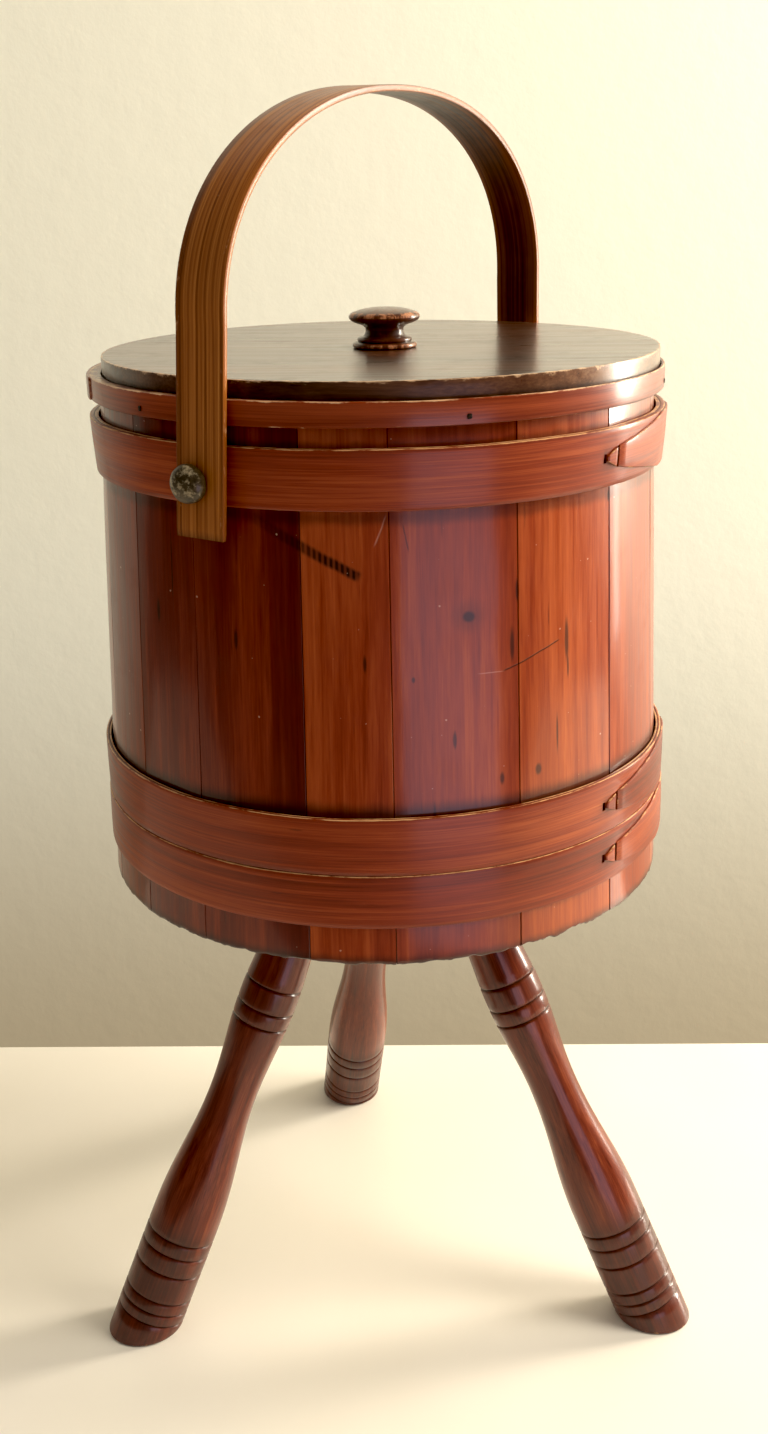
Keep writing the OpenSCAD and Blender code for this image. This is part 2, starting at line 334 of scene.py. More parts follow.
def wood(name, stops, broad=(22, 22, 1.1), streak=(190, 190, 2.4),
         fine=(1100, 1100, 10), w=(0.75, 0.9, 0.4), line_every=0.0, line_w=0.3,
         tone=0.0, rough=(0.34, 0.52), coat=0.75, coat_rough=0.12,
         spec=0.25, bump_mm=0.12, worn=(0.62, 0.36, 0.17), grime=(0.012, 0.006, 0.004),
         fleck=0.0, marks=None, ior=1.5):
    """Varnished wood. stops is its colour ramp from dark to light grain."""
    N = Nodes(name)
    g = N.attr("gr")
    ax = N.split(N.attr("ax"))
    wear_a, dirt_and_painted_shade_a, tone_and_painted_light_a = ax[0], ax[1], ax[2]
    nb = N.noise(g, broad, 3, 0.55, 0.3)
    ns = N.noise(g, streak, 5, 0.68, 0.15)
    nf = N.noise(g, fine, 3, 0.6)
    t = N.m("MULTIPLY_ADD", nb, w[0], 0.5 - 0.5 * (w[0] + w[1] + w[2]) + tone)
    t = N.m("MULTIPLY_ADD", ns, w[1], t)
    t = N.m("MULTIPLY_ADD", nf, w[2], t)
    lines = None
    if line_every:
        warp = N.noise(g, (14, 14, 1.3), 2, 0.5)
        u = N.split(g)[0]
        ph = N.m("MULTIPLY", u, 2 * math.pi * 1000.0 / line_every)
        ph = N.m("ADD", ph, N.m("MULTIPLY", warp, 34.0))
        s = N.m("SINE", ph)
        lines = N.span(s, 0.2, 1.0, 0.0, 1.0)
        t = N.m("SUBTRACT", t, N.m("MULTIPLY", lines, line_w))
    # the tone channel also carries painted shade on the left-hand staves and painted light with a highlight on the lid
    # rim
    t = N.m("ADD", t, tone_and_painted_light_a, clamp=True)
    col = N.ramp(t, stops)
    height = N.m("ADD", N.m("MULTIPLY", ns, 0.6), N.m("MULTIPLY", nf, 0.4))
    rg = N.span(ns, 0.3, 0.7, rough[0], rough[1], smooth=False)
    # pores and resin flecks: short dark dashes along the grain
    if fleck:
        fl = N.noise(g, (420, 420, 32), 2, 0.5)
        gate = N.noise(g, (60, 60, 7), 1, 0.5)
        k = N.m("MULTIPLY", N.span(fl, 0.69, 0.76), N.span(gate, 0.48, 0.62))
        k = N.m("MULTIPLY", k, fleck)
        col = N.mix(k, col, N.mix(0.8, col, grime))
        height = N.m("SUBTRACT", height, N.m("MULTIPLY", k, 0.5))
    if marks:
        col, height, rg = marks(N, col, height, rg)
    # grime settles unevenly where ax says it does; the dirt channel also carries painted shade in the hoop slits and
    # the pit
    gn = N.noise(g, (130, 130, 60), 4, 0.65)
    dm = N.m("MULTIPLY", dirt_and_painted_shade_a, N.span(gn, 0.25, 0.62, 0.45, 1.0), clamp=True)
    col = N.mix(dm, col, grime)
    rg = N.m("ADD", rg, N.m("MULTIPLY", dm, 0.25), clamp=True)
    # edges rubbed through to paler wood
    wn = N.noise(g, (300, 300, 90), 4, 0.7)
    wm = N.m("MULTIPLY", wear_a, 1.0)
    wm = N.span(N.m("ADD", wn, N.m("MULTIPLY", wm, 0.5)), 0.72, 0.92)
    wm = N.m("MULTIPLY", wm, N.span(wear_a, 0.02, 0.3), clamp=True)
    col = N.mix(wm, col, worn)
    rg = N.m("ADD", rg, N.m("MULTIPLY", wm, 0.2), clamp=True)
    # small scuffs in the varnish
    ob = N.obj()
    sc = N.noise(ob, (38, 38, 38), 4, 0.6)
    rg = N.m("ADD", rg, N.span(sc, 0.5, 0.8, 0.0, 0.12), clamp=True)
    b = N.bsdf
    N.put(b.inputs["Base Color"], col)
    N.put(b.inputs["Roughness"], rg)
    b.inputs["IOR"].default_value = ior
    b.inputs["Specular IOR Level"].default_value = spec
    b.inputs["Coat Weight"].default_value = coat
    b.inputs["Coat Roughness"].default_value = coat_rough
    b.inputs["Coat IOR"].default_value = 1.5
    N.put(b.inputs["Normal"], N.bump(height, bump_mm * 0.001))
    cn = N.noise(g, (60, 60, 6), 4, 0.55)
    cn = N.m("ADD", N.m("MULTIPLY", cn, 1.0), N.m("MULTIPLY", ns, 0.25))
    N.put(b.inputs["Coat Normal"], N.bump(cn, bump_mm * 0.0008))
    return N.mat


def stave_marks(N, col, height, rg):
    """The body's knot, resin flecks, scratches, stain and the grime that
    gathers beside the hoops. s is arc length in mm, z height in mm."""
    p = N.split(N.obj())
    x, y, z = p[0], p[1], N.m("MULTIPLY", p[2], 1000.0)
    # angle from the view direction, positive to the right, in mm of arc
    ca, sa = math.cos(math.radians(VIEW_A)), math.sin(math.radians(VIEW_A))
    yy = N.m("SUBTRACT", y, AY * 0.001)
    c = N.m("ADD", N.m("MULTIPLY", x, ca), N.m("MULTIPLY", yy, sa))
    d = N.m("SUBTRACT", N.m("MULTIPLY", yy, ca), N.m("MULTIPLY", x, sa))
    s = N.m("MULTIPLY", N.m("ARCTAN2", d, c), 150.0)
    wob = N.noise(N.join(s, z, 0.0), (0.09, 0.05, 1), 3, 0.6)
    wv = N.m("MULTIPLY_ADD", wob, 5.0, -2.5)

    def spot(a, zc, rw, rh, soft=0.4):
        u = N.m("DIVIDE", N.m("SUBTRACT", s, math.radians(a) * 150.0), rw)
        v = N.m("DIVIDE", N.m("SUBTRACT", z, zc), rh)
        r = N.m("SQRT", N.m("ADD", N.m("MULTIPLY", u, u), N.m("MULTIPLY", v, v)))
        r = N.m("ADD", r, N.m("MULTIPLY", wv, 0.12))
        return N.span(r, 1.0 - soft, 1.0 + soft, 1.0, 0.0)

    def line(a0, z0, a1, z1, width, wobble=0.0):
        x0, x1 = math.radians(a0) * 150.0, math.radians(a1) * 150.0
        L = math.hypot(x1 - x0, z1 - z0)
        ux, uz = (x1 - x0) / L, (z1 - z0) / L
        du, dz = N.m("SUBTRACT", s, x0), N.m("SUBTRACT", z, z0)
        along = N.m("ADD", N.m("MULTIPLY", du, ux), N.m("MULTIPLY", dz, uz))
        off = N.m("SUBTRACT", N.m("MULTIPLY", dz, ux), N.m("MULTIPLY", du, uz))
        off = N.m("ABSOLUTE", N.m("ADD", off, N.m("MULTIPLY", wv, wobble)))
        m1 = N.span(off, width * 0.35, width, 1.0, 0.0)
        m2 = N.m("MULTIPLY", N.span(along, -1.0, 2.5), N.span(along, L - 2.5, L + 1.0, 1.0, 0.0))
        return N.m("MULTIPLY", m1, m2)

    dark = (0.016, 0.006, 0.004)
    # knot, with the grain darkened a little round it
    k = N.m("MULTIPLY", spot(15.9, 452, 3.1, 2.6, 0.35), 0.85)
    col = N.mix(k, col, dark)
    col = N.mix(N.m("MULTIPLY", spot(15.9, 452, 7.5, 7.0, 0.6), 0.3), col, dark)
    # flecks: a°, z, half width, half height
    for a, zc, rw, rh in ((25.3, 462, 0.8, 5.0), (24.2, 436, 1.1, 7.5),
                          (36.6, 434, 1.3, 9.5), (36.9, 420, 0.5, 5.0),
                          (34.1, 388, 0.55, 9.0), (9.0, 355, 0.6, 7.0),
                          (5.5, 424, 0.8, 1.3), (48.6, 498, 0.9, 2.6),
                          (-46.9, 447, 1.2, 5.5), (-42.5, 470, 0.5, 16.0),
                          (12.9, 393, 0.9, 4.0), (29.6, 372, 1.6, 2.6),
                          (21.9, 371, 1.2, 3.0), (-27.5, 440, 0.9, 4.5),
                          (-3.1, 432, 0.8, 4.0)):
        col = N.mix(N.m("MULTIPLY", spot(a, zc, rw, rh, 0.45), 0.75), col, dark)
    # the long dark scuff under the top hoop, rubbed with cross strokes
    sc = line(-23.5, 499, -3.6, 472.5, 3.4, 0.25)
    st = N.m("SINE", N.m("MULTIPLY", s, 2.4))
    sc = N.m("MULTIPLY", sc, N.span(st, -1.0, 0.8, 0.6, 0.95))
    sc = N.m("MULTIPLY", sc, N.span(s, -62.0, -22.0, 0.35, 1.0))
    col = N.mix(sc, col, (0.014, 0.003, 0.002))
    rg = N.m("ADD", rg, N.m("MULTIPLY", sc, 0.2), clamp=True)
    # thin scratches and the two hair cracks
    s1 = line(22.3, 424.0, 34.8, 434.5, 0.55, 0.25)
    s2 = line(17.5, 424.3, 22.5, 424.0, 0.4, 0.2)
    s3 = line(4.0, 497.0, 5.0, 484.0, 0.5, 0.2)
    s4 = line(-1.0, 487.0, 1.2, 501.0, 0.55, 0.25)
    dk = N.m("MAXIMUM", s1, N.m("MULTIPLY", s3, 0.8))
    col = N.mix(N.m("MULTIPLY", dk, 0.75), col, dark)
    pale = N.m("MAXIMUM", N.m("MULTIPLY", s2, 0.6), N.m("MULTIPLY", s4, 0.55))
    col = N.mix(pale, col, (0.5, 0.2, 0.14))
    height = N.m("SUBTRACT", height, N.m("MULTIPLY", N.m("MAXIMUM", s1, s4), 1.2))
    # a few specks of pale dust and nicks
    dn = N.noise(N.join(s, z, 3.0), (0.42, 0.42, 1), 0, 0.5)
    col = N.mix(N.m("MULTIPLY", N.span(dn, 0.855, 0.9), 0.6), col, (0.62, 0.36, 0.26))
    # grime beside the hoops and along the bottom edge
    for z0, reach, amount in ((356.6, 9.0, 0.8), (499.5, 5.0, 0.45),
                              (531.0, 3.5, 0.5), (279.0, 7.0, 0.75)):
        near = N.m("ABSOLUTE", N.m("SUBTRACT", z, z0))
        near = N.m("ADD", near, N.m("MULTIPLY", wv, 0.8))
        col = N.mix(N.m("MULTIPLY", N.span(near, 0.5, reach, 1.0, 0.0), amount),
                    col, (0.016, 0.006, 0.004))
    # the left-hand staves are darkened with painted shade through their tone values, which are set where the staves
    # are built
    return col, height, rg


STAVE = wood("stave_wood",
             [(0.0, (0.045, 0.004, 0.0015)), (0.3, (0.13, 0.012, 0.003)),
              (0.52, (0.27, 0.036, 0.007)), (0.74, (0.44, 0.085, 0.016)),
              (1.0, (0.62, 0.19, 0.05))],
             w=(0.7, 0.6, 0.22), line_every=3.1, line_w=0.02, rough=(0.3, 0.46),
             coat=0.6, coat_rough=0.13, bump_mm=0.10, fleck=0.45, marks=stave_marks)
HOOP = wood("hoop_wood",
            [(0.0, (0.05, 0.006, 0.002)), (0.3, (0.13, 0.017, 0.004)),
             (0.55, (0.25, 0.032, 0.006)), (0.78, (0.40, 0.075, 0.015)),
             (1.0, (0.58, 0.2, 0.06))],
            broad=(30, 30, 2.0), streak=(420, 420, 5.0), fine=(1500, 1500, 22),
            w=(0.75, 0.8, 0.5), rough=(0.36, 0.54), coat=0.4, coat_rough=0.2,
            bump_mm=0.13, fleck=0.6, worn=(0.66, 0.34, 0.15))
BAND = wood("band_wood",
            [(0.0, (0.06, 0.007, 0.002)), (0.35, (0.16, 0.02, 0.004)),
             (0.6, (0.3, 0.048, 0.01)), (0.8, (0.44, 0.1, 0.02)),
             (1.0, (0.6, 0.2, 0.06))],
            broad=(30, 30, 2.0), streak=(420, 420, 5.0), fine=(1500, 1500, 22),
            w=(0.5, 0.7, 0.4), rough=(0.34, 0.5), coat=0.65, coat_rough=0.2,
            bump_mm=0.11, fleck=0.4, worn=(0.68, 0.38, 0.2))
LID = wood("lid_wood",
           [(0.0, (0.012, 0.005, 0.003)), (0.35, (0.04, 0.014, 0.007)),
            (0.6, (0.085, 0.03, 0.013)), (0.82, (0.15, 0.06, 0.026)),
            (1.0, (0.24, 0.11, 0.05))],
           broad=(16, 16, 2.2), streak=(150, 150, 6), fine=(900, 900, 24),
           w=(0.8, 0.8, 0.5), rough=(0.24, 0.42), coat=0.8, coat_rough=0.22,
           bump_mm=0.16, fleck=0.7, worn=(0.6, 0.36, 0.2))
KNOB = wood("knob_wood",
            [(0.0, (0.02, 0.006, 0.003)), (0.4, (0.06, 0.016, 0.007)),
             (0.7, (0.14, 0.04, 0.016)), (1.0, (0.28, 0.1, 0.045))],
            broad=(60, 60, 30), streak=(300, 300, 90), fine=(1400, 1400, 300),
            w=(0.6, 0.7, 0.4), rough=(0.26, 0.42), coat=0.7, coat_rough=0.16,
            bump_mm=0.08, worn=(0.5, 0.2, 0.09))
LEG = wood("leg_wood",
           [(0.0, (0.02, 0.003, 0.002)), (0.3, (0.07, 0.009, 0.004)),
            (0.55, (0.16, 0.026, 0.009)), (0.78, (0.29, 0.065, 0.02)),
            (1.0, (0.46, 0.16, 0.06))],
           broad=(45, 45, 3), streak=(260, 260, 7), fine=(1300, 1300, 40),
           w=(0.6, 0.8, 0.45), rough=(0.28, 0.44), coat=0.55, coat_rough=0.13,
           bump_mm=0.12, fleck=0.3, worn=(0.5, 0.24, 0.11), grime=(0.03, 0.013, 0.009))
HANDLE = wood("handle_wood",
              [(0.0, (0.05, 0.011, 0.003)), (0.3, (0.13, 0.032, 0.006)),
               (0.55, (0.28, 0.08, 0.013)), (0.78, (0.46, 0.16, 0.03)),
               (1.0, (0.62, 0.3, 0.08))],
              broad=(70, 40, 1.2), streak=(520, 200, 2.4), fine=(1700, 900, 14),
              w=(0.8, 1.0, 0.4), line_every=4.3, line_w=0.16, tone=0.03,
              rough=(0.32, 0.5), coat=0.28, coat_rough=0.2, bump_mm=0.16,
              worn=(0.72, 0.4, 0.2))
PIN = wood("pin_wood",
           [(0.0, (0.012, 0.009, 0.004)), (0.4, (0.04, 0.026, 0.011)),
            (0.75, (0.1, 0.065, 0.03)), (1.0, (0.2, 0.14, 0.07))],
           broad=(120, 120, 80), streak=(420, 420, 260), fine=(1500, 1500, 900),
           w=(0.7, 0.7, 0.5), rough=(0.3, 0.5), coat=0.5, coat_rough=0.2,
           bump_mm=0.22, worn=(0.35, 0.27, 0.16))
BOARD = wood("board_wood",
             [(0.0, (0.05, 0.018, 0.008)), (0.4, (0.12, 0.048, 0.02)),
              (0.7, (0.2, 0.09, 0.04)), (1.0, (0.34, 0.18, 0.09))],
             broad=(16, 16, 1.5), streak=(150, 150, 4), fine=(900, 900, 20),
             rough=(0.55, 0.75), coat=0.0, bump_mm=0.2, fleck=0.5)


def iron():
    N = Nodes("nail_iron")
    o = N.obj()
    n1 = N.noise(o, (700, 700, 700), 4, 0.6)
    n2 = N.noise(o, (2600, 2600, 2600), 3, 0.6)
    col = N.ramp(n1, [(0.3, (0.012, 0.010, 0.009)), (0.55, (0.035, 0.022, 0.015)),
                      (0.75, (0.10, 0.045, 0.02))])
    N.put(N.bsdf.inputs["Base Color"], col)
    N.bsdf.inputs["Metallic"].default_value = 0.55
    N.put(N.bsdf.inputs["Roughness"], N.span(n2, 0.3, 0.7, 0.45, 0.8))
    N.put(N.bsdf.inputs["Normal"], N.bump(N.m("ADD", n1, n2), 0.0003))
    return N.mat


IRON = iron()


# ---------------------------------------------------------------- staves

rng = np.random.default_rng(41)
chip_fine = lattice(3, 0.8)
chip_mid = lattice(5, 2.6)
chip_big = lattice(8, 6.0)
# how much darker or lighter each stave was when it was cut, with painted shade on the three staves at the left of the
# view (the first and the last two), which face away from the key light; and how it faces
STAVE_TONE_AND_SHADE = [-0.20, 0.08, 0.02, 0.12, 0.08, 0.06, 0.02, -0.04, 0.03,
        -0.02, 0.05, -0.03, 0.02, 0.04, -0.06, -0.15, -0.20]
TILT = [0.2, -0.35, 0.25, 0.75, -0.2, 0.3, -0.4, 0.2, -0.3,
        0.35, -0.2, 0.3, -0.35, 0.1, 0.4, -0.3, 0.25]


def chips(deg):
    """How far the bottom edge is broken away, in mm."""
    c = 0.5 * chip_fine(deg) + 0.9 * np.clip(chip_mid(deg) - 0.55, 0, 1) * 2
    c = c + 2.2 * np.clip(chip_big(deg) - 0.72, 0, 1) * 2
    return c


for i in range(17):
    t0, t1 = JOINTS[i], JOINTS[i + 1]
    half, mid = (t1 - t0) / 2, (t1 + t0) / 2
    gap = math.degrees(0.06 / 150)
    edge = math.degrees(0.32 / 150)
    inner_cols = np.linspace(t0 + gap + edge, t1 - gap - edge, int(round((t1 - t0) / 0.45)))
    cols = np.concatenate([[t0 + gap], inner_cols, [t1 - gap]])
    bevel = np.zeros(len(cols)); bevel[0] = bevel[-1] = 0.3
    phi = (cols - mid) / half
    sag = 150 * (1 - math.cos(math.radians(half)))
    flat = 0.16 * sag * (1 - phi ** 2) + TILT[i] * 0.28 * (phi + np.sign(TILT[i]) * 1.0) * np.sign(TILT[i]) * np.sign(TILT[i])
    flat = flat - flat.min() * 0 if flat.min() >= 0 else flat - flat.min()
    c = chips(cols)
    zs = [0.0, 0.5, 1.3, 2.6, 4.5, 7.5]
    zs += list(np.linspace(12, Z_TOP - Z_BOTTOM - 1.4, 40))
    r1 = np.random.default_rng(100 + i)
    ph = r1.uniform(0, 6.28, 6)
    rows = []      # (radius, z) per column
    for k, dz in enumerate(zs):
        z = Z_BOTTOM + 0.1 + dz
        blend = max(0.0, 1 - dz / 6.0)
        zz = z + c * blend
        und = 0.07 * (np.sin(zz / 24 + ph[0] + phi * 1.3) + np.sin(zz / 41 + ph[1] - phi * 2.1)) \
            + 0.03 * np.sin(zz / 9 + ph[2] + phi * 4)
        r = body_r(zz) - flat - bevel - 0.12 - und * (1 - 0.6 * blend)
        if k == 0:
            r = r - 0.75 - 0.55 * c
        if k == 1:
            r = r - 0.22 - 0.3 * c
        rows.append((r, zz))
    top = Z_TOP - 0.05
    rows.append((body_r(top) - 0.5 - flat * 0.6 - bevel, np.full(len(cols), top - 0.5)))
    rows.append((body_r(top) - 1.3 - flat * 0.4 - bevel, np.full(len(cols), top)))
    rin = body_r(top) - STAVE_T
    one = np.ones(len(cols))
    rows.append(((rin + 0.5) * one, top * one))
    rows.append((rin * one, (top - 0.5) * one))
    for z in (500.0, 440.0, 380.0, 330.0, 306.0):
        rows.append(((body_r(z) - STAVE_T) * one, z * one))
    rows.append(((body_r(305.1) - STAVE_T) * one, 305.2 * one))
    rows.append(((body_r(297) - STAVE_T + 5) * one, 305.2 * one))
    rows.append(((body_r(297) - STAVE_T + 5) * one, 296.9 * one))
    rows.append(((body_r(297) - STAVE_T) * one, 296.9 * one))
    rows.append(((body_r(284) - STAVE_T) * one, 283.8 * one))
    rows.append(((body_r(279) - STAVE_T + 3) * one, (Z_BOTTOM + 0.1) * one))
    rows.append((body_r(279) - 4.5 - 0.8 * c, (Z_BOTTOM + 0.12) * one))
    rr = np.stack([a * one for a, _ in rows], 1)
    zz = np.stack([b * one for _, b in rows], 1)
    P = polar(rr, cols[:, None], zz)
    off = r1.uniform(-3000, 3000, 3)
    G = np.stack([np.radians(cols)[:, None] * 150 + 0 * rr + off[0], rr + off[1], zz + off[2]], -1)
    A = np.zeros(G.shape)
    # painted shade: the tone channel darkens the left-hand staves, which face away from the key light
    A[..., 2] = STAVE_TONE_AND_SHADE[i]
    A[:, 0, 1] = 0.7
    A[:, 1, 1] = 0.45
    A[:, 2, 1] = 0.2
    nb = len(zs)
    A[:, nb:nb + 3, 0] = 0.55
    A[0, :, 1] = np.maximum(A[0, :, 1], 0.75)
    A[-1, :, 1] = np.maximum(A[-1, :, 1], 0.75)
    # the inside is bare and darker
    A[:, nb + 3:, 1] = 0.35
    me = Mesh()
    me.grid(P, G, A, cv=True, cap0=True, cap1=True)
    me.build(f"stave_{i + 1:02d}_wood", STAVE, "bucket", [f"stave_{i + 1:02d}"], sharp=32)


# ---------------------------------------------------------------- bottom board

def bottom():
    deg = np.arange(0, 360, 2.5)
    inner = body_r(309) - STAVE_T - 0.2
    tongue = body_r(297) - STAVE_T + 4.8
    sec = [(30, 289), (80, 289), (inner - 0.8, 289), (inner, 289.8), (inner, 297), (tongue, 297),
           (tongue, 305), (inner, 305), (inner, 308.2), (inner - 0.8, 309), (80, 309), (30, 309)]
    rr = np.array([[a for a, _ in sec]] * len(deg), float)
    zz = np.array([[b for _, b in sec]] * len(deg), float)
    P = polar(rr, deg[:, None], zz)
    Pw = np.concatenate([P, P[:1]], 0)
    G = np.stack([Pw[..., 0] + 700, Pw[..., 2], Pw[..., 1] + 1900], -1)
    A = np.zeros(G.shape)
    A[..., 1] = 0.12
    me = Mesh()
    me.grid(P, G, A, cu=True, point0=((0, AY, 289), (700, 289, AY + 1900)),
            point1=((0, AY, 309), (700, 309, AY + 1900)))
    me.build("bottom_board_wood", BOARD, "bucket", ["bottom_board"])


bottom()


# ---------------------------------------------------------------- hoops

def ring_cols(extra, step=0.75):
    base = np.arange(0, 360, step)
    extra = np.array(sorted(extra), float)
    keep = [b for b in base if np.min(np.abs(extra - b)) > 0.2]
    return np.array(sorted(list(keep) + list(extra)))


def hoop(name, node, z, w, t_low, t_top, seed, tone):
    wz, wr, wt = wave_noise(seed, 6, 1, 7), wave_noise(seed + 1, 6, 2, 9), wave_noise(seed + 2, 5, 3, 14)
    zc = z + w / 2
    rc = body_r(zc) + (t_low + t_top) / 2
    e = 0.02
    slit = (SLIT_A + math.degrees(-0.9 / rc), SLIT_A + math.degrees(0.7 / rc))
    pit = (SLIT_A - 3.9 - math.degrees(1.2 / rc), SLIT_A - 3.9 + math.degrees(1.0 / rc))
    extra = []
    for a, b in (slit, pit):
        extra += [a - e, a + e, (a + b) / 2, b - e, b + e]
    cols = ring_cols(extra)
    n = len(cols)
    one = np.ones(n)
    zlow = z + 0.25 * wz(cols) * 0.6
    ztop = z + w + 0.3 * wt(cols)
    fr = [0.0]
    sec = []
    # outer face, from the bottom edge up, with rows at the slit's ends
    hz = [0.0, 0.55, 2.5]
    inner_rows = sorted([zc - 5.03 - z, zc - 4.97 - z, zc - 2.23 - z, zc - 2.17 - z, zc - z,
                         zc + 2.17 - z, zc + 2.23 - z, zc + 4.97 - z, zc + 5.03 - z])
    hz += inner_rows + [w - 2.5, w - 0.6]
    rows = []
    ri_low = body_r(z) - 0.3
    rows.append((ri_low * one, zlow + 0.15, "in"))
    rows.append((body_r(z) + t_low - 0.45 + 0.1 * wr(cols), zlow, "edge"))
    for h in hz:
        f = h / w
        zr = z + h
        r = body_r(zr) + t_low + (t_top - t_low) * f + 0.12 * math.sin(math.pi * f) \
            + 0.1 * wr(cols) + 0.05 * wt(cols * 1.0)
        if h == 0.0:
            r = r - 0.12
            zz = zlow + 0.22
        elif h == w - 0.6:
            zz = ztop - 0.55
        else:
            zz = zr * one + (zlow - z) * (1 - f) + (ztop - z - w) * f
        dep = np.zeros(n)
        if abs(zr - zc) < 5.0:
            dep = np.maximum(dep, 1.15 * ((cols > slit[0]) & (cols < slit[1])))
        if abs(zr - zc) < 2.2:
            dep = np.maximum(dep, 1.15 * ((cols > pit[0]) & (cols < pit[1])))
        rows.append((r - dep, zz * one, "face"))
    rt = body_r(z + w) + t_top + 0.1 * wr(cols)
    ri = body_r(z + w)
    led = t_top
    rows.append((rt - 0.12, ztop - 0.2, "wear"))
    rows.append((rt - 0.45, ztop - 0.02, "wear"))
    rows.append((ri + led * 0.62, ztop, "top"))
    rows.append((ri + led * 0.50, ztop - 0.28, "gap"))
    rows.append((ri + led * 0.40, ztop - 0.02, "wear"))
    rows.append((ri + 0.5 + 0 * cols, ztop - 0.1, "wear"))
    rows.append((ri + 0.22 + 0 * cols, ztop - 0.7, "gap"))
    rows.append((body_r(z + w - 3) - 0.3 + 0 * cols, ztop - 3, "in"))
    rr = np.stack([a * one for a, _, _ in rows], 1)
    zz = np.stack([b * one for _, b, _ in rows], 1)
    kinds = [k for _, _, k in rows]
    P = polar(rr, cols[:, None], zz)
    cw = np.concatenate([cols, [cols[0] + 360]])
    idx = np.concatenate([np.arange(n), [0]])
    rng2 = np.random.default_rng(seed + 9)
    off = rng2.uniform(-2500, 2500, 3)
    G = np.stack([zz[idx] + off[0], rr[idx] + off[1], np.radians(cw)[:, None] * rc + 0 * rr[idx] + off[2]], -1)
    A = np.zeros(G.shape)
    A[..., 2] = tone
    for j, k in enumerate(kinds):
        if k == "wear":
            A[:, j, 0] = 0.75
        if k == "gap":
            A[:, j, 1] = 0.95
        if k == "in":
            A[:, j, 1] = 0.6
        if k == "edge":
            A[:, j, 1] = 0.35
            A[:, j, 0] = 0.3
    # grime round the slit and the arrow's tip; inside the slit and the pit the dirt is set to full, which paints shade
    # into these holes
    for q in range(len(cw)):
        near = math.exp(-((cw[q] - (SLIT_A - 2.5)) / 2.6) ** 2)
        for j, h in enumerate(zz[idx[q]]):
            d = math.exp(-((h - zc) / 5.0) ** 2)
            A[q, j, 1] = min(1.0, A[q, j, 1] + 0.75 * near * d)
            # painted shade: the slit and the pit are painted fully dark
            if (slit[0] < cw[q] < slit[1] and abs(h - zc) < 5) or (pit[0] < cw[q] < pit[1] and abs(h - zc) < 2.2):
                A[q, j, 1] = 1.0
    me = Mesh()
    me.grid(P, G, A, cu=True, cv=True)

    def outer(zr, deg):
        f = (zr - z) / w
        return body_r(zr) + t_low + (t_top - t_low) * f + 0.12 * np.sin(np.pi * np.clip(f, 0, 1)) \
            + 0.1 * wr(deg) + 0.05 * wt(deg)

    # the tongue, and the arrowhead that shows past the slit
    def strap(a0, a1, half, thick, cuts=(), step=0.6, off2=(0, 0, 0), worn=0.35):
        cols = np.concatenate([np.arange(a0, a1, step), [a1]])
        if cuts:
            extra = []
            for ca, cwid in cuts:
                hw = math.degrees(cwid / 2 / rc)
                extra += [ca - hw - 0.02, ca - hw + 0.02, ca, ca + hw - 0.02, ca + hw + 0.02]
            cols = np.array(sorted([c for c in cols if min(abs(c - x) for x in extra) > 0.15] + extra))
        pr, pz, kind = [], [], []
        fr = [-1, -1, -0.93, -0.8, -0.5, -0.325, -0.315, 0.0, 0.315, 0.325, 0.5, 0.8, 0.93, 1, 1]
        for q, f in enumerate(fr):
            h = half(cols)
            zr = zc + f * h
            if q in (0, len(fr) - 1):
                r = outer(zr, cols) - 0.45
            elif q in (1, len(fr) - 2):
                r = outer(zr, cols) + thick(cols) * 0.6
            elif q in (2, len(fr) - 3):
                zr = zc + np.sign(f) * (h - 0.3)
                r = outer(zr, cols) + thick(cols) * 0.92
            elif q in (3, len(fr) - 4):
                zr = zc + np.sign(f) * (h - 0.9)
                r = outer(zr, cols) + thick(cols)
            else:
                r = outer(zr, cols) + thick(cols)
            if cuts and abs(f) < 0.32:
                for ca, cwid in cuts:
                    hw = math.degrees(cwid / 2 / rc)
                    r = r - 1.3 * (np.abs(cols - ca) < hw)
            pr.append(r)
            pz.append(zr)
            kind.append(f)
        rr, zz = np.stack(pr, 1), np.stack(pz, 1)
        P = polar(rr, cols[:, None], zz)
        G = np.stack([zz + off[0] + off2[0], rr + off[1] + 40, np.radians(cols)[:, None] * rc + 0 * rr + off[2] + 300 + off2[2]], -1)
        A = np.zeros(G.shape)
        A[..., 2] = tone + 0.04
        A[:, [1, 2, 12, 13], 0] = worn
        A[:, [0, 14], 1] = 0.9
        A[0, :, 0] = 0.4
        # painted shade: the cut in the tongue is painted fully dark
        if cuts:
            for q, cdeg in enumerate(cols):
                for ca, cwid in cuts:
                    if abs(cdeg - ca) < math.degrees(cwid / 2 / rc):
                        A[q, 5:10, 1] = 1.0
        me.grid(P, G, A, cv=True, cap0=True, cap1=True)

    def half_t(deg):
        t = np.clip((deg - SLIT_A - 0.4) / 20.5, 0, 1)
        t = t ** 0.92
        return 5.3 + (w / 2 - 0.35 - 5.3) * t

    def thick_t(deg):
        return 1.35 * np.clip((deg - SLIT_A - 0.1) / 1.2, 0.35, 1) * np.clip((LAP_END - deg) / 1.5, 0.55, 1)

    strap(SLIT_A + 0.32, LAP_END, half_t, thick_t, cuts=((SLIT2_A, 1.0),), worn=0.5)

    def half_a(deg):
        t = np.clip((SLIT_A - 0.4 - deg) / 3.0, 0, 1)
        return 4.8 + (1.3 - 4.8) * t ** 1.1

    def thick_a(deg):
        return 1.15 * np.clip((SLIT_A - 0.3 - deg) / 0.4, 0.3, 1) * np.clip((deg - SLIT_A + 3.6) / 0.5, 0.4, 1)

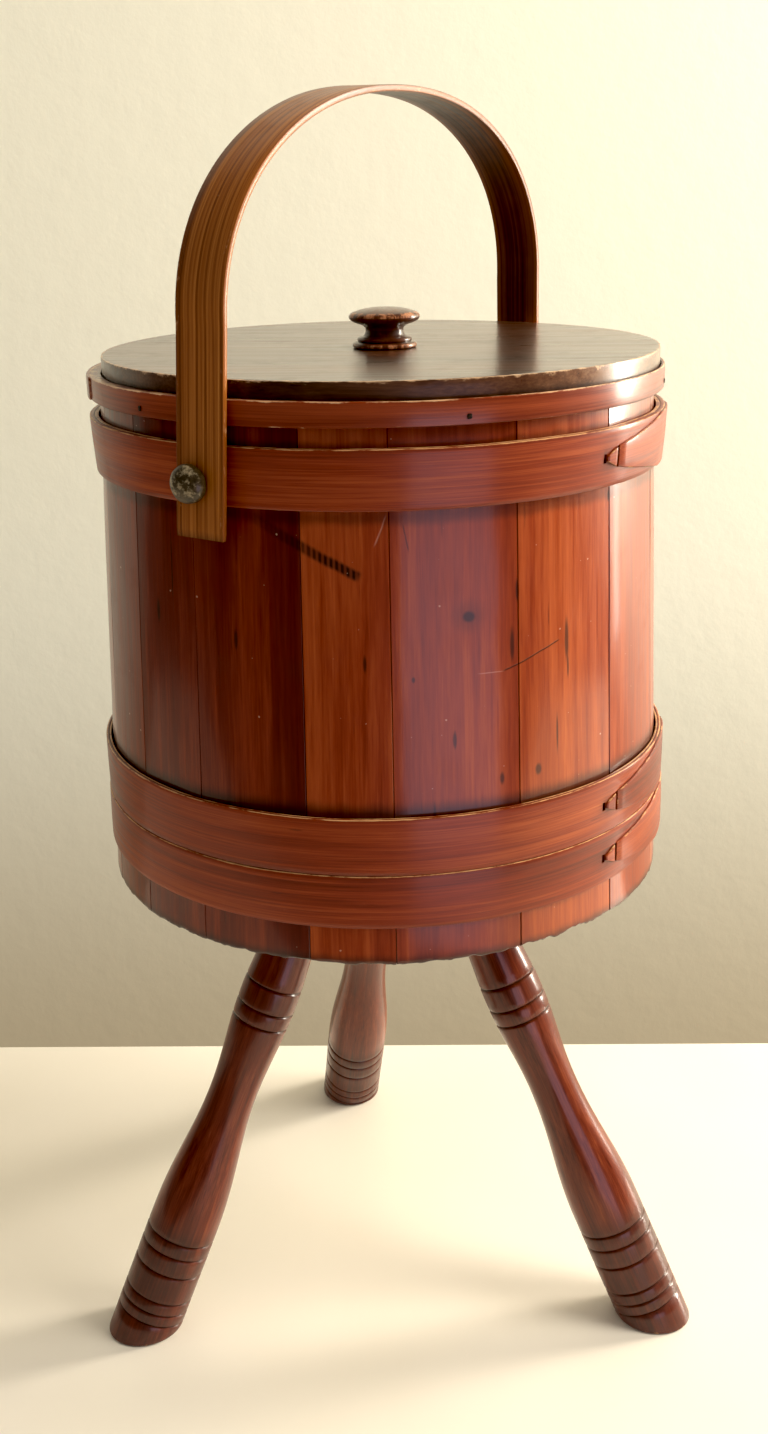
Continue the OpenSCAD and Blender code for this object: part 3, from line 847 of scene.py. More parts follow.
    strap(SLIT_A - 3.35, SLIT_A - 0.42, half_a, thick_a, step=0.3, off2=(9, 0, 31), worn=0.6)
    me.build(name, HOOP, "bucket", [node], sharp=30)


hoop("top_hoop_wood", "top_hoop", 503.1, 27.9, 2.2, 5.0, 11, 0.05)
hoop("middle_hoop_wood", "middle_hoop", 327.3, 29.3, 1.8, 3.1, 23, 0.0)
hoop("bottom_hoop_wood", "bottom_hoop", 299.6, 27.5, 1.6, 2.2, 37, 0.03)


# ---------------------------------------------------------------- legs

def lathe_cols(n=72):
    return np.arange(n) * 360.0 / n


def leg(name, node, foot, seed):
    fr, fa, tr, ta = foot
    a = np.array([fr * math.cos(math.radians(fa)), fr * math.sin(math.radians(fa)) + AY, 0.0])
    b = np.array([tr * math.cos(math.radians(ta)), tr * math.sin(math.radians(ta)) + AY, 278.0])
    ax = (b - a) / np.linalg.norm(b - a)
    e1 = np.cross(ax, [0, 0, 1.0]); e1 /= np.linalg.norm(e1)
    e2 = np.cross(ax, e1)
    r = np.random.default_rng(seed)

    def ease(p, q, t):
        return p + (q - p) * (1 - math.cos(math.pi * t)) / 2

    def rad(s):
        if s < 74: return 20.2
        if s < 158: return ease(20.2, 13.8, (s - 74) / 84)
        if s < 212: return ease(13.8, 17.0, (s - 158) / 54)
        if s < 222: return 17.0
        return 17.0 + (11.5 - 17.0) * (s - 222) / (309 - 222)

    grooves = [11, 18, 25.5, 43, 55, 64, 202.5, 212, 226.5]
    depth = [0.8, 0.8, 0.8, 0.9, 0.9, 0.9, 0.85, 0.85, 0.85]
    ss = set(np.arange(12, 300, 4.0).tolist())
    for g in grooves:
        ss = {s for s in ss if abs(s - g) > 1.6}
    for g in grooves:
        ss |= {g - 1.3, g - 0.75, g - 0.4, g, g + 0.4, g + 0.75, g + 1.3}
    ss = sorted(s for s in ss if s > 10.0)
    ss = [s for s in ss if s >= 9.6]
    deg = lathe_cols(72)
    t = np.radians(deg)
    rz = e1[2] * np.cos(t) + e2[2] * np.sin(t)     # height of each radial direction
    rows_r, rows_s, A = [], [], []
    ph = r.uniform(0, 6.28, 8)

    def add(rv, sv, wear=0.0, dirt=0.0):
        rows_r.append(rv * np.ones(72))
        rows_s.append(sv * np.ones(72))
        A.append((wear, dirt))
    # the foot is cut level: its rim and a small worn chamfer
    s_floor = lambda rr: -rr * rz / ax[2]
    add(np.full(72, 20.2 - 1.0), s_floor(19.2), 0.0, 0.9)
    r0 = 20.2 - 0.25
    add(np.full(72, r0), s_floor(r0) + 0.55, 0.5, 0.55)
    add(np.full(72, 20.2), s_floor(20.2) + 1.5, 0.3, 0.45)
    for f in (0.3, 0.65):
        sb = s_floor(20.2) + 1.5
        add(20.2 * np.ones(72), sb + (9.6 - sb) * f, 0.0, 0.45)
    for s in ss:
        rv = rad(s)
        gd = 0.0
        dirt = 0.0
        for g, dd in zip(grooves, depth):
            x = abs(s - g)
            if x < 1.0:
                gd = dd * (0.5 + 0.5 * math.cos(math.pi * x / 1.0)) ** 0.8
                dirt = max(dirt, 1.0 - x * 0.9)
        und = 0.10 * np.sin(2 * t + ph[0] + s / 60) + 0.07 * np.sin(3 * t + ph[1] - s / 35) \
            + 0.05 * math.sin(s / 9 + ph[2])
        # the turned ends are stained darker and have lost their shine
        base = 0.55 * (1 - min(1, max(0, (s - 66) / 9)))
        upper = 0.28 * max(0.0, 1 - abs(s - 214) / 17.0) ** 0.5 if abs(s - 214) < 17 else 0
        add(rv - gd + und, s, 0.0, max(dirt, base, upper))
    # up to the board's top face
    for rr, ds in ((11.5, 0),):
        add(rr, 304.0, 0, 0.3)
        add(rr, 308.5, 0, 0.3)
    add(10.5, 309.2, 0, 0.3)
    s_top = (309.15 - 10.5 * rz) / ax[2]
    add(np.full(72, 10.5), s_top - 1.0, 0, 0.1)
    add(np.full(72, 10.2), (309.2 - 10.2 * rz) / ax[2], 0.3, 0.1)
    R = np.stack(rows_r, 1)
    S = np.stack(rows_s, 1)
    ct, st = np.cos(t)[:, None, None], np.sin(t)[:, None, None]
    P = a + S[..., None] * ax + R[..., None] * (ct * e1 + st * e2)
    P[:, 0, 2] = 0.0
    off = r.uniform(-2000, 2000, 3)
    L = np.stack([R * np.cos(t)[:, None] + off[0], R * np.sin(t)[:, None] + off[1], S + off[2]], -1)
    G = np.concatenate([L, L[:1]], 0)
    AA = np.zeros(G.shape)
    for j, (wv, dv) in enumerate(A):
        AA[:, j, 0] = wv
        AA[:, j, 1] = dv
    me = Mesh()
    c0 = P[:, 0].mean(0)
    c1 = P[:, -1].mean(0)
    me.grid(P, G, AA, cu=True, point0=(c0, off), point1=(c1, off + np.array([0, 0, 310.0])))
    me.build(name, LEG, "bucket", [node], sharp=50)


leg("leg_front_left_wood", "leg_front_left", (167.8, 150, 45.9, 158.1), 51)
leg("leg_front_right_wood", "leg_front_right", (171.9, 276.2, 44.7, 271.2), 52)
leg("leg_back_wood", "leg_back", (169.9, 42.4, 44, 33.9), 53)


# ---------------------------------------------------------------- handle

def handle():
    HALF, ARCH, STR, RISE, SH = 157.0, 152.5, 68.5, 103.0, 2.16
    W, T, TAIL = 26.9, 3.2, 25.2
    splay = (HALF - ARCH) / STR
    ts = np.radians(np.linspace(0, 180, 241))
    # even spacing along the arch, from a dense first pass
    dense = np.radians(np.linspace(0, 180, 4001))
    def arch(t):
        c, s = np.cos(t), np.sin(t)
        return np.stack([ARCH * np.sign(c) * np.abs(c) ** (2 / SH), STR + RISE * np.abs(s) ** (2 / SH)], -1)
    dp = arch(dense)
    L = np.concatenate([[0], np.cumsum(np.linalg.norm(np.diff(dp, axis=0), axis=1))])
    want = np.linspace(0, L[-1], 180)
    ap = np.stack([np.interp(want, L, dp[:, 0]), np.interp(want, L, dp[:, 1])], -1)
    vs = np.linspace(-TAIL, STR, 26)[:-1]
    left = np.stack([HALF - splay * vs, vs], -1)
    right = left[::-1] * [-1, 1]
    path = np.concatenate([left, ap, right], 0)
    # end rounding rows
    d = np.gradient(path, axis=0)
    d /= np.linalg.norm(d, axis=1)[:, None]
    nrm = np.stack([-d[:, 1], d[:, 0]], -1)      # towards the inside
    s = np.concatenate([[0], np.cumsum(np.linalg.norm(np.diff(path, axis=0), axis=1))])
    e = 0.7
    sec = [(-W / 2, e), (-W / 2 + 0.2, 0.2), (-W / 2 + e, 0.0), (-W / 4, -0.0), (0, 0.0), (W / 4, 0.0), (W / 2 - e, 0.0),
           (W / 2 - 0.2, 0.2), (W / 2, e), (W / 2, T - e), (W / 2 - 0.2, T - 0.2), (W / 2 - e, T), (W / 4, T), (0, T),
           (-W / 4, T), (-W / 2 + e, T), (-W / 2 + 0.2, T - 0.2), (-W / 2, T - e)]
    sec = np.array(sec)
    n, mm = len(path), len(sec)
    rr = np.random.default_rng(71)
    ph = rr.uniform(0, 6.28, 6)
    wob = 0.12 * np.sin(s / 37 + ph[0]) + 0.1 * np.sin(s / 16 + ph[1])
    wid = 1 + 0.006 * np.sin(s / 55 + ph[2]) + 0.004 * np.sin(s / 21 + ph[3]) - 0.006
    lean = math.radians(1.1)
    P = np.zeros((n, mm, 3))
    G = np.zeros((n, mm, 3))
    A = np.zeros((n, mm, 3))
    for i in range(n):
        ends = min(s[i], s[-1] - s[i])
        shrink = 0.35 if ends < 0.01 else 0.0
        for j, (yy, dd) in enumerate(sec):
            y = yy * wid[i]
            depth = min(max(dd, shrink * 1.2), T - shrink * 1.2) + 0.08 + 0.3 * wob[i] * 0.3
            y = math.copysign(min(abs(y), W / 2 - shrink), y)
            px = path[i] + nrm[i] * depth
            X, Y, Z = px[0], -y - 3.6, px[1]
            Yr = Y * math.cos(lean) - Z * math.sin(lean)
            Zr = Y * math.sin(lean) + Z * math.cos(lean)
            P[i, j] = (X, Yr + AY, Zr + PIN_Z)
            G[i, j] = (y + 800, dd + 300, s[i] + 1500)
            edge = j in (0, 1, 2, 6, 7, 8, 9, 10, 11, 15, 16, 17)
            A[i, j] = (0.28 if j in (1, 2, 6, 7, 8, 9) else (0.15 if edge else 0), 0, 0)
            if dd > T - 0.8 and not edge:
                A[i, j] = (0, 0.4, -0.22)
            if ends < 0.6:
                A[i, j, 1] = 0.5
    me = Mesh()
    me.grid(P, G, A, cv=True, cap0=True, cap1=True)
    ob = me.build("handle_wood", HANDLE, "handle", ["handle"], sharp=40)
    return ob


handle()


# ---------------------------------------------------------------- turned small parts

def lathe(me, prof, origin, axis, cols=64, wear=None, dirt=None, tone=0.0, seed=1, rough=0.0, along=True, facet=None):
    """prof is (radius, height) from the axis back to the axis."""
    axis = np.asarray(axis, float); axis /= np.linalg.norm(axis)
    ref = np.array([0, 0, 1.0]) if abs(axis[2]) < 0.9 else np.array([1.0, 0, 0])
    e1 = np.cross(ref, axis); e1 /= np.linalg.norm(e1)
    e2 = np.cross(axis, e1)
    o = np.asarray(origin, float)
    t = np.radians(lathe_cols(cols))
    prof = np.asarray(prof, float)
    pr = prof[1:-1]
    R = np.tile(pr[:, 0], (cols, 1))
    H = np.tile(pr[:, 1], (cols, 1))
    r = np.random.default_rng(seed)
    ph = r.uniform(0, 6.28, 8)
    if rough:
        R = R * (1 + rough * (np.sin(2 * t + ph[0]) + 0.6 * np.sin(5 * t + ph[1]))[:, None]
                 + rough * 0.5 * np.sin(7 * t[:, None] + ph[2] + H * 1.3))
    P = o + H[..., None] * axis + R[..., None] * (np.cos(t)[:, None, None] * e1 + np.sin(t)[:, None, None] * e2)
    off = r.uniform(-2000, 2000, 3)
    Lc = np.stack([R * np.cos(t)[:, None] + off[0], R * np.sin(t)[:, None] + off[1], H + off[2]], -1)
    G = np.concatenate([Lc, Lc[:1]], 0)
    A = np.zeros(G.shape)
    A[..., 2] = tone
    if wear is not None:
        A[..., 0] = np.asarray([wear(x, y) for x, y in pr])[None, :]
    if dirt is not None:
        A[..., 1] = np.asarray([dirt(x, y) for x, y in pr])[None, :]
    me.grid(P, G, A, cu=True, point0=(o + prof[0][1] * axis, off + np.array([0, 0, prof[0][1]])),
            point1=(o + prof[-1][1] * axis, off + np.array([0, 0, prof[-1][1]])))


def smooth_profile(pts, per=5):
    """Catmull-Rom through the points, so turned shapes are round."""
    pts = [np.array(p, float) for p in pts]
    out = []
    for i in range(len(pts) - 1):
        p0 = pts[max(i - 1, 0)]; p1 = pts[i]; p2 = pts[i + 1]; p3 = pts[min(i + 2, len(pts) - 1)]
        for k in range(per):
            t = k / per
            q = 0.5 * ((2 * p1) + (-p0 + p2) * t + (2 * p0 - 5 * p1 + 4 * p2 - p3) * t * t
                       + (-p0 + 3 * p1 - 3 * p2 + p3) * t ** 3)
            out.append(q)
    out.append(pts[-1])
    return [(max(0.0, float(a)), float(b)) for a, b in out]


def knob():
    z0 = 559.5
    base = [(0, -0.6), (15.6, -0.6), (16.2, 0.0), (16.7, 0.7), (16.8, 1.4), (16.4, 2.4), (15.7, 3.0), (14.2, 3.15),
            (13.9, 3.4), (14.2, 4.0), (14.3, 4.6), (14.0, 5.3), (13.2, 5.8), (11.2, 6.2)]
    stem = smooth_profile([(11.2, 6.2), (10.6, 6.9), (10.1, 8.2), (9.9, 9.6), (10.3, 11.0), (12.2, 12.4), (15.4, 13.6),
                           (17.6, 14.9), (18.55, 16.7), (17.8, 18.4), (15.4, 19.7), (11.2, 20.9), (6.2, 21.65), (2.0, 21.9)], 5)
    prof = base + stem[1:] + [(0, 21.95)]
    prof = [(a, b * 20.4 / 22) for a, b in prof]
    me = Mesh()
    def wear(r, h):
        return 0.55 if (h > 15.5 and r > 15.5) or (abs(h - 1.2) < 1.2 and r > 16.3) else 0.0
    def dirt(r, h):
        if h < 0.2: return 0.9
        if 2.8 < h < 3.7: return 0.9
        if 5.2 < h < 9: return 0.45
        return 0.0
    lathe(me, prof, (1.0, AY - 4.7, z0), (0, 0, 1), 96, wear, dirt, seed=81, rough=0.0012)
    me.build("knob_wood", KNOB, "lid", ["knob"], sharp=50)


knob()


def pin(name, node, sign, seed):
    h0 = 157.0 + 0.7
    r = 9.2
    prof = [(0, 132.7), (4.2, 132.7), (4.7, 133.1), (4.7, h0), (r - 1.2, h0)]
    prof += smooth_profile([(r - 1.0, h0 + 0.05), (r - 0.35, h0 + 0.9), (r - 0.05, h0 + 2.4), (r - 0.15, h0 + 3.9),
                            (r * 0.92, h0 + 5.2), (r * 0.76, h0 + 6.75), (r * 0.5, h0 + 7.95), (r * 0.2, h0 + 8.65), (0.7, h0 + 8.75)], 4)
    prof += [(0, h0 + 8.78)]
    me = Mesh()
    def wear(rr, h):
        return 0.5 if h > h0 + 4.5 else 0.15
    def dirt(rr, h):
        return 0.6 if h < h0 + 1.2 else 0.15
    lathe(me, prof, (0, AY, PIN_Z), (sign, 0, 0), 56, wear, dirt, seed=seed, rough=0.012)
    me.build(name, PIN, "bucket", [node], sharp=40)


pin("pin_front_wood", "pin_front", -1, 91)
pin("pin_rear_wood", "pin_rear", 1, 92)


# ---------------------------------------------------------------- lid

def lid_board():
    R, Z0, ZT = 144.9, 541.0, 560.3
    plug = body_r(Z_TOP) - STAVE_T - 1.2
    cols = np.arange(0, 360, 1.0)
    n = len(cols)
    one = np.ones(n)
    la, lb = lattice(201, 3.0), lattice(202, 1.0)
    edge = 0.5 + 0.9 * np.clip(la(cols) - 0.45, 0, 1) * 1.4 + 0.35 * lb(cols)
    # a chip on the top edge, left of the middle, and one near the right end
    rel = (cols - VIEW_A + 180) % 360 - 180
    edge = 0.45 * edge + 0.6 * bump1(rel, -23.0, 4.0) + 0.5 * bump1(rel, 58.0, 5.0) + 0.4 * bump1(rel, 66.0, 3.0)
    ch = R - 0.15
    und = 0.12 * wave_noise(203, 5, 2, 11)(cols)

    def top(r, deg):
        t = np.radians(deg)
        x, y = r * np.cos(t), r * np.sin(t)
        ca, sa = math.cos(math.radians(VIEW_A)), math.sin(math.radians(VIEW_A))
        u = (x * ca + y * sa) / R            # towards the camera
        v = (-x * sa + y * ca) / R           # right in the photograph
        return ZT - 0.2 - 0.9 * (1 - np.clip(r / R, 0, 1)) + 0.07 * np.sin(5 * u + 2 * v + 1.0)
    rows = []
    zlow = Z0 - 3.7
    for r in (20.0, 70.0, plug - 0.6):
        rows.append((r * one, zlow * one, 0.0, 0.2))
    rows.append((plug * one, (zlow + 0.6) * one, 0, 0.2))
    rows.append((plug * one, (Z0 + 0.02) * one, 0, 0.4))
    rows.append(((R - 0.8) * one, (Z0 + 0.02) * one, 0, 0.4))
    rows.append((ch * one, (Z0 + 0.8) * one, 0, 0.4))
    for z, d in ((Z0 + 5, 0.4), (551.6, 0.75), (552.4, 0.75), (553.4, 0.35), (555.5, 0.1), (557.2, 0.05)):
        rows.append((ch + und, z * one, 0.08, d))
    te = top(R, cols)
    rows.append((ch + und - 0.02, te - edge - 0.45, 0.4, 0.05))
    rows.append((ch + und - edge * 0.35, te - edge * 0.45, 0.75, 0.0))
    rows.append((ch + und - edge - 0.5, top(R - edge - 0.6, cols), 0.55, 0.0))
    for r in (142.0, 138.0, 130.0, 118.0, 104.0, 90.0, 76.0, 62.0, 48.0, 34.0, 24.0, 14.0, 6.0):
        w = 0.15 if r > 140 else 0.0
        d = 0.55 if r < 18 else (0.2 if r < 24 else 0.0)
        rows.append((r * one, top(r, cols), w, d))
    rr = np.stack([a for a, _, _, _ in rows], 1)
    zz = np.stack([b for _, b, _, _ in rows], 1)
    P = polar(rr, cols[:, None], zz)
    P[:, 5:, 0] += 1.2
    P[:, 5:, 1] -= 1.9
    Pw = np.concatenate([P, P[:1]], 0)
    ca, sa = math.cos(math.radians(VIEW_A - 4)), math.sin(math.radians(VIEW_A - 4))
    u = Pw[..., 0] * ca + (Pw[..., 1] - AY) * sa
    v = -Pw[..., 0] * sa + (Pw[..., 1] - AY) * ca
    G = np.stack([u + 1200, Pw[..., 2] * 1.0 - 400, v - 900], -1)
    A = np.zeros(G.shape)
    for j, (_, _, w, d) in enumerate(rows):
        A[:, j, 0] = w
        A[:, j, 1] = d
    # painted light on the rim: its tone rises towards the right of the view and round the back, towards the key light,
    # with a painted highlight about 52 degrees to the right
    cw = np.concatenate([cols, cols[:1]])
    relw = (cw - VIEW_A + 180) % 360 - 180
    for j in range(4, 15):
        A[:, j, 2] = 0.08 + 0.32 * np.clip((relw + 10) / 55, 0, 1) * (relw > -40) + 0.12 * bump1(relw, 52, 8)
    me = Mesh()
    me.grid(P, G, A, cu=True, point0=((0, AY, zlow), (1200, zlow - 400, -900)),
            point1=((1.2, AY - 1.9, float(top(0.0, 0.0))), (1200, 160, -900)))
    me.build("lid_board_wood", LID, "lid", ["lid_board"], sharp=45)


lid_board()


def lid_band():
    z, h, ri, ro = 540.2, 11.6, 144.95, 149.5
    wz, wr = wave_noise(301, 6, 1, 9), wave_noise(302, 6, 2, 10)
    cols = np.arange(0, 360, 1.0)
    n = len(cols)
    one = np.ones(n)
    top = z + h + 0.22 * wz(cols)
    low = z + 0.12 * wz(cols + 40)
    rel = (cols - VIEW_A + 180) % 360 - 180
    # the top edge is split away a little at the front
    nick = 0.8 * bump1(rel, 6.0, 6.0) + 0.5 * bump1(rel, 40.0, 4.0) + 0.4 * lattice(305, 4.0)(cols) ** 3
    rows = [(ri * one, low + 0.2, 0, 0.5), ((ro - 0.5) * one, low, 0.2, 0.4), (ro - 0.1 + 0.08 * wr(cols), low + 0.35, 0.3, 0.1),
            (ro + 0.1 * wr(cols), low + 1.2, 0.0, 0.0), (ro + 0.08 + 0.1 * wr(cols), z + 4.0 + 0 * one, 0, 0),
            (ro + 0.08 + 0.1 * wr(cols), z + 7.6 + 0 * one, 0, 0), (ro + 0.1 * wr(cols), top - 1.1, 0.05, 0),
            (ro - 0.1 + 0.08 * wr(cols), top - 0.35, 0.6, 0), (ro - 0.55 * one, top - 0.02, 0.75, 0),
            ((ri + 1.2) * one, top - 0.05 - nick * 0.4, 0.35, 0.3), ((ri + 0.45) * one, top - 0.2 - nick, 0.2, 0.7),
            ((ri + 0.1) * one, top - 1.2 - nick, 0, 0.95), ((ri - 0.2) * one, top - 3.4, 0, 0.9)]
    rr = np.stack([a * one for a, _, _, _ in rows], 1)
    zz = np.stack([b * one for _, b, _, _ in rows], 1)
    P = polar(rr, cols[:, None], zz)
    P[:, 9:, 0] += 1.2
    P[:, 9:, 1] -= 1.9
    cw = np.concatenate([cols, [360.0]])
    idx = np.concatenate([np.arange(n), [0]])
    G = np.stack([zz[idx] + 333, rr[idx] - 220, np.radians(cw)[:, None] * 149.5 + 0 * rr[idx] + 2100], -1)
    A = np.zeros(G.shape)
    A[..., 2] = 0.03
    for j, (_, _, w, d) in enumerate(rows):
        A[:, j, 0] = w
        A[:, j, 1] = d
    me = Mesh()
    me.grid(P, G, A, cu=True, cv=True)
    # the outer end of the band lies over its beginning; its end is rounded
    c2 = np.concatenate([np.arange(100, 137.0, 1.0), np.arange(137.0, 140.01, 0.3)])
    endd = np.radians(140.0 - c2) * 149.5
    hh = np.where(endd < 5.0, np.sqrt(np.clip(1 - (1 - endd / 5.0) ** 2, 0.04, 1)), 1.0)
    th = 0.95 * np.clip((c2 - 99.7) / 6.0, 0.05, 1) * np.clip(endd / 1.2, 0.35, 1)
    zc = z + h / 2
    secf = [(-1, -0.5, 0), (-1, 0.5, 1), (-0.93, 0.9, 1), (-0.8, 1.0, 0), (-0.3, 1.02, 0), (0.3, 1.02, 0), (0.8, 1.0, 0),
            (0.93, 0.9, 1), (1, 0.5, 1), (1, -0.5, 0)]
    rr = np.stack([ro + 0.08 + th * k for _, k, _ in secf], 1)
    rr[:, 0] = ro - 0.5
    rr[:, -1] = ro - 0.5
    zz = np.stack([zc + f * (h / 2 - 0.1) * hh for f, _, _ in secf], 1)
    P = polar(rr, c2[:, None], zz)
    G = np.stack([zz + 910, rr - 640, np.radians(c2)[:, None] * 149.5 + 0 * rr + 480], -1)
    A = np.zeros(G.shape)
    A[..., 2] = 0.0
    for j, (_, _, wj) in enumerate(secf):
        A[:, j, 0] = 0.55 * wj
    A[-4:, :, 1] = 0.35
    me.grid(P, G, A, cv=True, cap0=True, cap1=True)
    me.build("lid_band_wood", BAND, "lid", ["lid_band"], sharp=34)


lid_band()


def nails():
    me = Mesh()
    r = np.random.default_rng(401)
    for a in (164.8, 228.1, 288, 348, 48, 107):
        out = 149.55 + (1.0 if 100 < a < 140 else 0.0)
        t = math.radians(a)
        d = np.array([math.cos(t), math.sin(t), 0])
        e1 = np.array([-math.sin(t), math.cos(t), 0])
        e2 = np.array([0, 0, 1.0])
        c = np.array([0, AY, 544.0])
        turn = math.radians(r.uniform(-12, 12))
        prof = [(0.1, 0), (1.02, 0.02), (1.2, 0.22), (1.08, 0.42), (0.75, 0.5), (0.1, 0.53)]
        cols = []
        for q in range(16):
            # a rounded square
            b = math.radians(q * 22.5 + 11.25)
            k = 1.0 / max(abs(math.cos(b)), abs(math.sin(b))) ** 0.78
            k *= 1 + r.uniform(-0.04, 0.04)
            cols.append([(c + d * (out + h - 0.02) + rr * k * (math.cos(b + turn) * e1 + math.sin(b + turn) * e2)) for rr, h in prof])
        P = np.array(cols)
        G = np.concatenate([P, P[:1]], 0)
        me.grid(P, G, None, cu=True, point0=(c + d * (out - 0.02), G[0, 0]), point1=(c + d * (out + 0.5), G[0, -1]))
        # the shank, in the board
        cols = []
        for q in range(10):
            b = math.radians(q * 36)
            cols.append([(c + d * x + 0.68 * (math.cos(b) * e1 + math.sin(b) * e2)) for x in (131.0, out + 0.1)])
        P = np.array(cols)
        G = np.concatenate([P, P[:1]], 0)
        me.grid(P, G, None, cu=True, point0=(c + d * 130.2, G[0, 0]), point1=(c + d * (out + 0.12), G[0, -1]))
    me.build("lid_band_nails_iron", IRON, "lid", ["lid_band_nails"], sharp=45)


nails()


# ---------------------------------------------------------------- stage

def one_sided(N, base_shader):
    """From behind, the camera sees through, so back and low views are clear."""
    geo = N.new("ShaderNodeNewGeometry")
    lp = N.new("ShaderNodeLightPath")
    tr = N.new("ShaderNodeBsdfTransparent")
    mx = N.new("ShaderNodeMixShader")
    N.put(mx.inputs[0], N.m("MULTIPLY", geo.outputs["Backfacing"], lp.outputs["Is Camera Ray"]))
    N.t.links.new(base_shader, mx.inputs[1])
    N.t.links.new(tr.outputs[0], mx.inputs[2])
    N.t.links.new(mx.outputs[0], N.out.inputs[0])


def floor_material():
    N = Nodes("floor")
    o = N.obj()
    n1 = N.noise(o, (3, 3, 3), 3, 0.5)
    n2 = N.noise(o, (40, 40, 40), 3, 0.5)
    col = N.ramp(n1, [(0.3, (0.82, 0.75, 0.62)), (0.7, (0.86, 0.79, 0.69))])
    N.put(N.bsdf.inputs["Base Color"], col)
    N.put(N.bsdf.inputs["Roughness"], N.span(n2, 0.3, 0.7, 0.3, 0.42))
    N.bsdf.inputs["Specular IOR Level"].default_value = 0.35
    one_sided(N, N.bsdf.outputs[0])
    return N.mat


def wall_material():
    N = Nodes("wall")
    o = N.obj()
    n2 = N.noise(o, (30, 30, 30), 4, 0.6)
    p = N.split(o)
    # painted shade: the wall darkens towards its bottom by height
    low = N.span(p[2], -0.55, 0.25, 0.0, 1.0)
    col = N.mix(low, (0.62, 0.52, 0.36), (0.97, 0.93, 0.78))
    N.put(N.bsdf.inputs["Base Color"], col)
    N.bsdf.inputs["Roughness"].default_value = 0.8
    N.bsdf.inputs["Specular IOR Level"].default_value = 0.15
    N.put(N.bsdf.inputs["Normal"], N.bump(n2, 0.0006))
    one_sided(N, N.bsdf.outputs[0])
    return N.mat


LA, LB = Vector((0.0339, 0.4020, 0)), Vector((0.3434, -0.1152, 0))
along = (LB - LA).normalized()
to_cam = Vector((along.y, -along.x, 0))
if to_cam.dot(Vector((-0.6966, -0.4258, 0)) - LA) < 0:
    to_cam = -to_cam
mid = (LA + LB) / 2


def quad(name, pts, mat):
    me = bpy.data.meshes.new(name)
    me.from_pydata([tuple(p) for p in pts], [], [(0, 1, 2, 3)])
    me.update()
    me.materials.append(mat)
    ob = bpy.data.objects.new(name, me)
    bpy.context.scene.collection.objects.link(ob)
    return ob


zf = -0.0003
floor = quad("floor", [mid - along * 1.6 + Vector((0, 0, zf)), mid - along * 1.6 + to_cam * 0.86 + Vector((0, 0, zf)),
                       mid + along * 1.6 + to_cam * 0.86 + Vector((0, 0, zf)), mid + along * 1.6 + Vector((0, 0, zf))],
             floor_material())
if floor.data.polygons[0].normal.z < 0:
    floor.data.flip_normals()
back = mid - to_cam * 0.75
wall = quad("wall", [back - along * 4 + Vector((0, 0, -1.6)), back + along * 4 + Vector((0, 0, -1.6)),
                     back + along * 4 + Vector((0, 0, 3.2)), back - along * 4 + Vector((0, 0, 3.2))],
            wall_material())
if wall.data.polygons[0].normal.dot(to_cam) < 0:
    wall.data.flip_normals()


# ---------------------------------------------------------------- light

axis = Vector((0, AY * 0.001, 0))


def at(a, dist, z):
    """A place seen from the bucket's axis: a degrees right of the camera."""
    t = math.radians(VIEW_A + a)
    return axis + Vector((dist * math.cos(t), dist * math.sin(t), z))


def panel(name, place, aim, size, watts, color, diffuse=True, glossy=True):
    li = bpy.data.lights.new(name, "AREA")
    li.shape = "RECTANGLE"
    li.size, li.size_y = size
    li.energy = watts
    li.color = color
    ob = bpy.data.objects.new(name, li)
    bpy.context.scene.collection.objects.link(ob)
    ob.location = place
    ob.rotation_mode = "QUATERNION"
    ob.rotation_quaternion = (place - aim).to_track_quat("Z", "Y")
    ob.visible_camera = False
    ob.visible_diffuse = diffuse
    ob.visible_glossy = glossy
    return ob


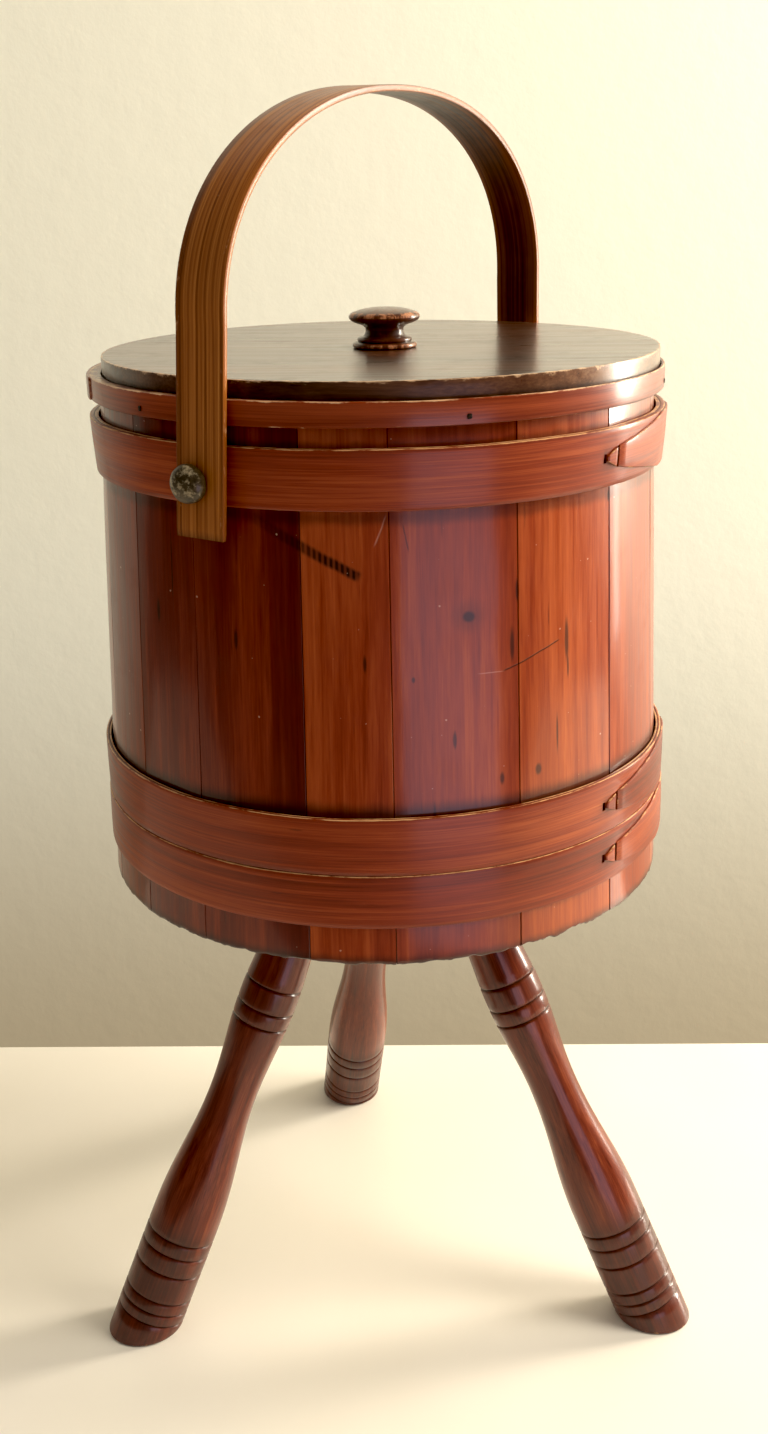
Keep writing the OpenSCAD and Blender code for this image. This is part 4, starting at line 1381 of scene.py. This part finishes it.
key = panel("key", at(108, 2.2, 0.85), axis + Vector((0, 0, 0.35)), (0.42, 1.3), 62, (1.0, 0.93, 0.80))
soft = panel("soft", at(75, 2.6, 1.9), axis + Vector((0, 0, 0.3)), (1.8, 1.6), 30, (1.0, 0.95, 0.86), glossy=False)
front = panel("front", at(26, 1.12, 0.13), axis + Vector((0, 0, 0.35)), (0.62, 0.5), 2.1, (0.85, 0.70, 0.90), diffuse=False)
wash = panel("wash", at(80, 1.9, 2.1), back + along * 1.2 + Vector((0, 0, 0.9)), (1.2, 1.2), 50, (1.0, 0.95, 0.82), glossy=False)

strip = panel("strip", at(108, 1.6, 0.22), axis + Vector((0, 0, 0.45)), (0.11, 0.36), 1.1, (1.0, 0.93, 0.80), diffuse=False)

world = bpy.data.worlds.new("world")
bpy.context.scene.world = world
world.use_nodes = True
wt = world.node_tree
for nd in list(wt.nodes):
    wt.nodes.remove(nd)
wo = wt.nodes.new("ShaderNodeOutputWorld")
lp = wt.nodes.new("ShaderNodeLightPath")
b_all = wt.nodes.new("ShaderNodeBackground")
b_all.inputs[0].default_value = (1.0, 0.95, 0.86, 1)
b_all.inputs[1].default_value = 0.42
b_cam = wt.nodes.new("ShaderNodeBackground")
b_cam.inputs[0].default_value = (1.0, 0.96, 0.85, 1)
b_cam.inputs[1].default_value = 0.85
b_gl = wt.nodes.new("ShaderNodeBackground")
b_gl.inputs[0].default_value = (1.0, 0.9, 0.8, 1)
b_gl.inputs[1].default_value = 0.02
m1 = wt.nodes.new("ShaderNodeMixShader")
m2 = wt.nodes.new("ShaderNodeMixShader")
wt.links.new(lp.outputs["Is Glossy Ray"], m1.inputs[0])
wt.links.new(b_all.outputs[0], m1.inputs[1])
wt.links.new(b_gl.outputs[0], m1.inputs[2])
wt.links.new(lp.outputs["Is Camera Ray"], m2.inputs[0])
wt.links.new(m1.outputs[0], m2.inputs[1])
wt.links.new(b_cam.outputs[0], m2.inputs[2])
wt.links.new(m2.outputs[0], wo.inputs[0])

vs = bpy.context.scene.view_settings
vs.view_transform = "Standard"
vs.look = "None"
vs.exposure = 0.0
vs.gamma = 1.0
vs.use_curve_mapping = True
vs.curve_mapping.black_level = (0.007, 0.007, 0.007)
vs.curve_mapping.update()
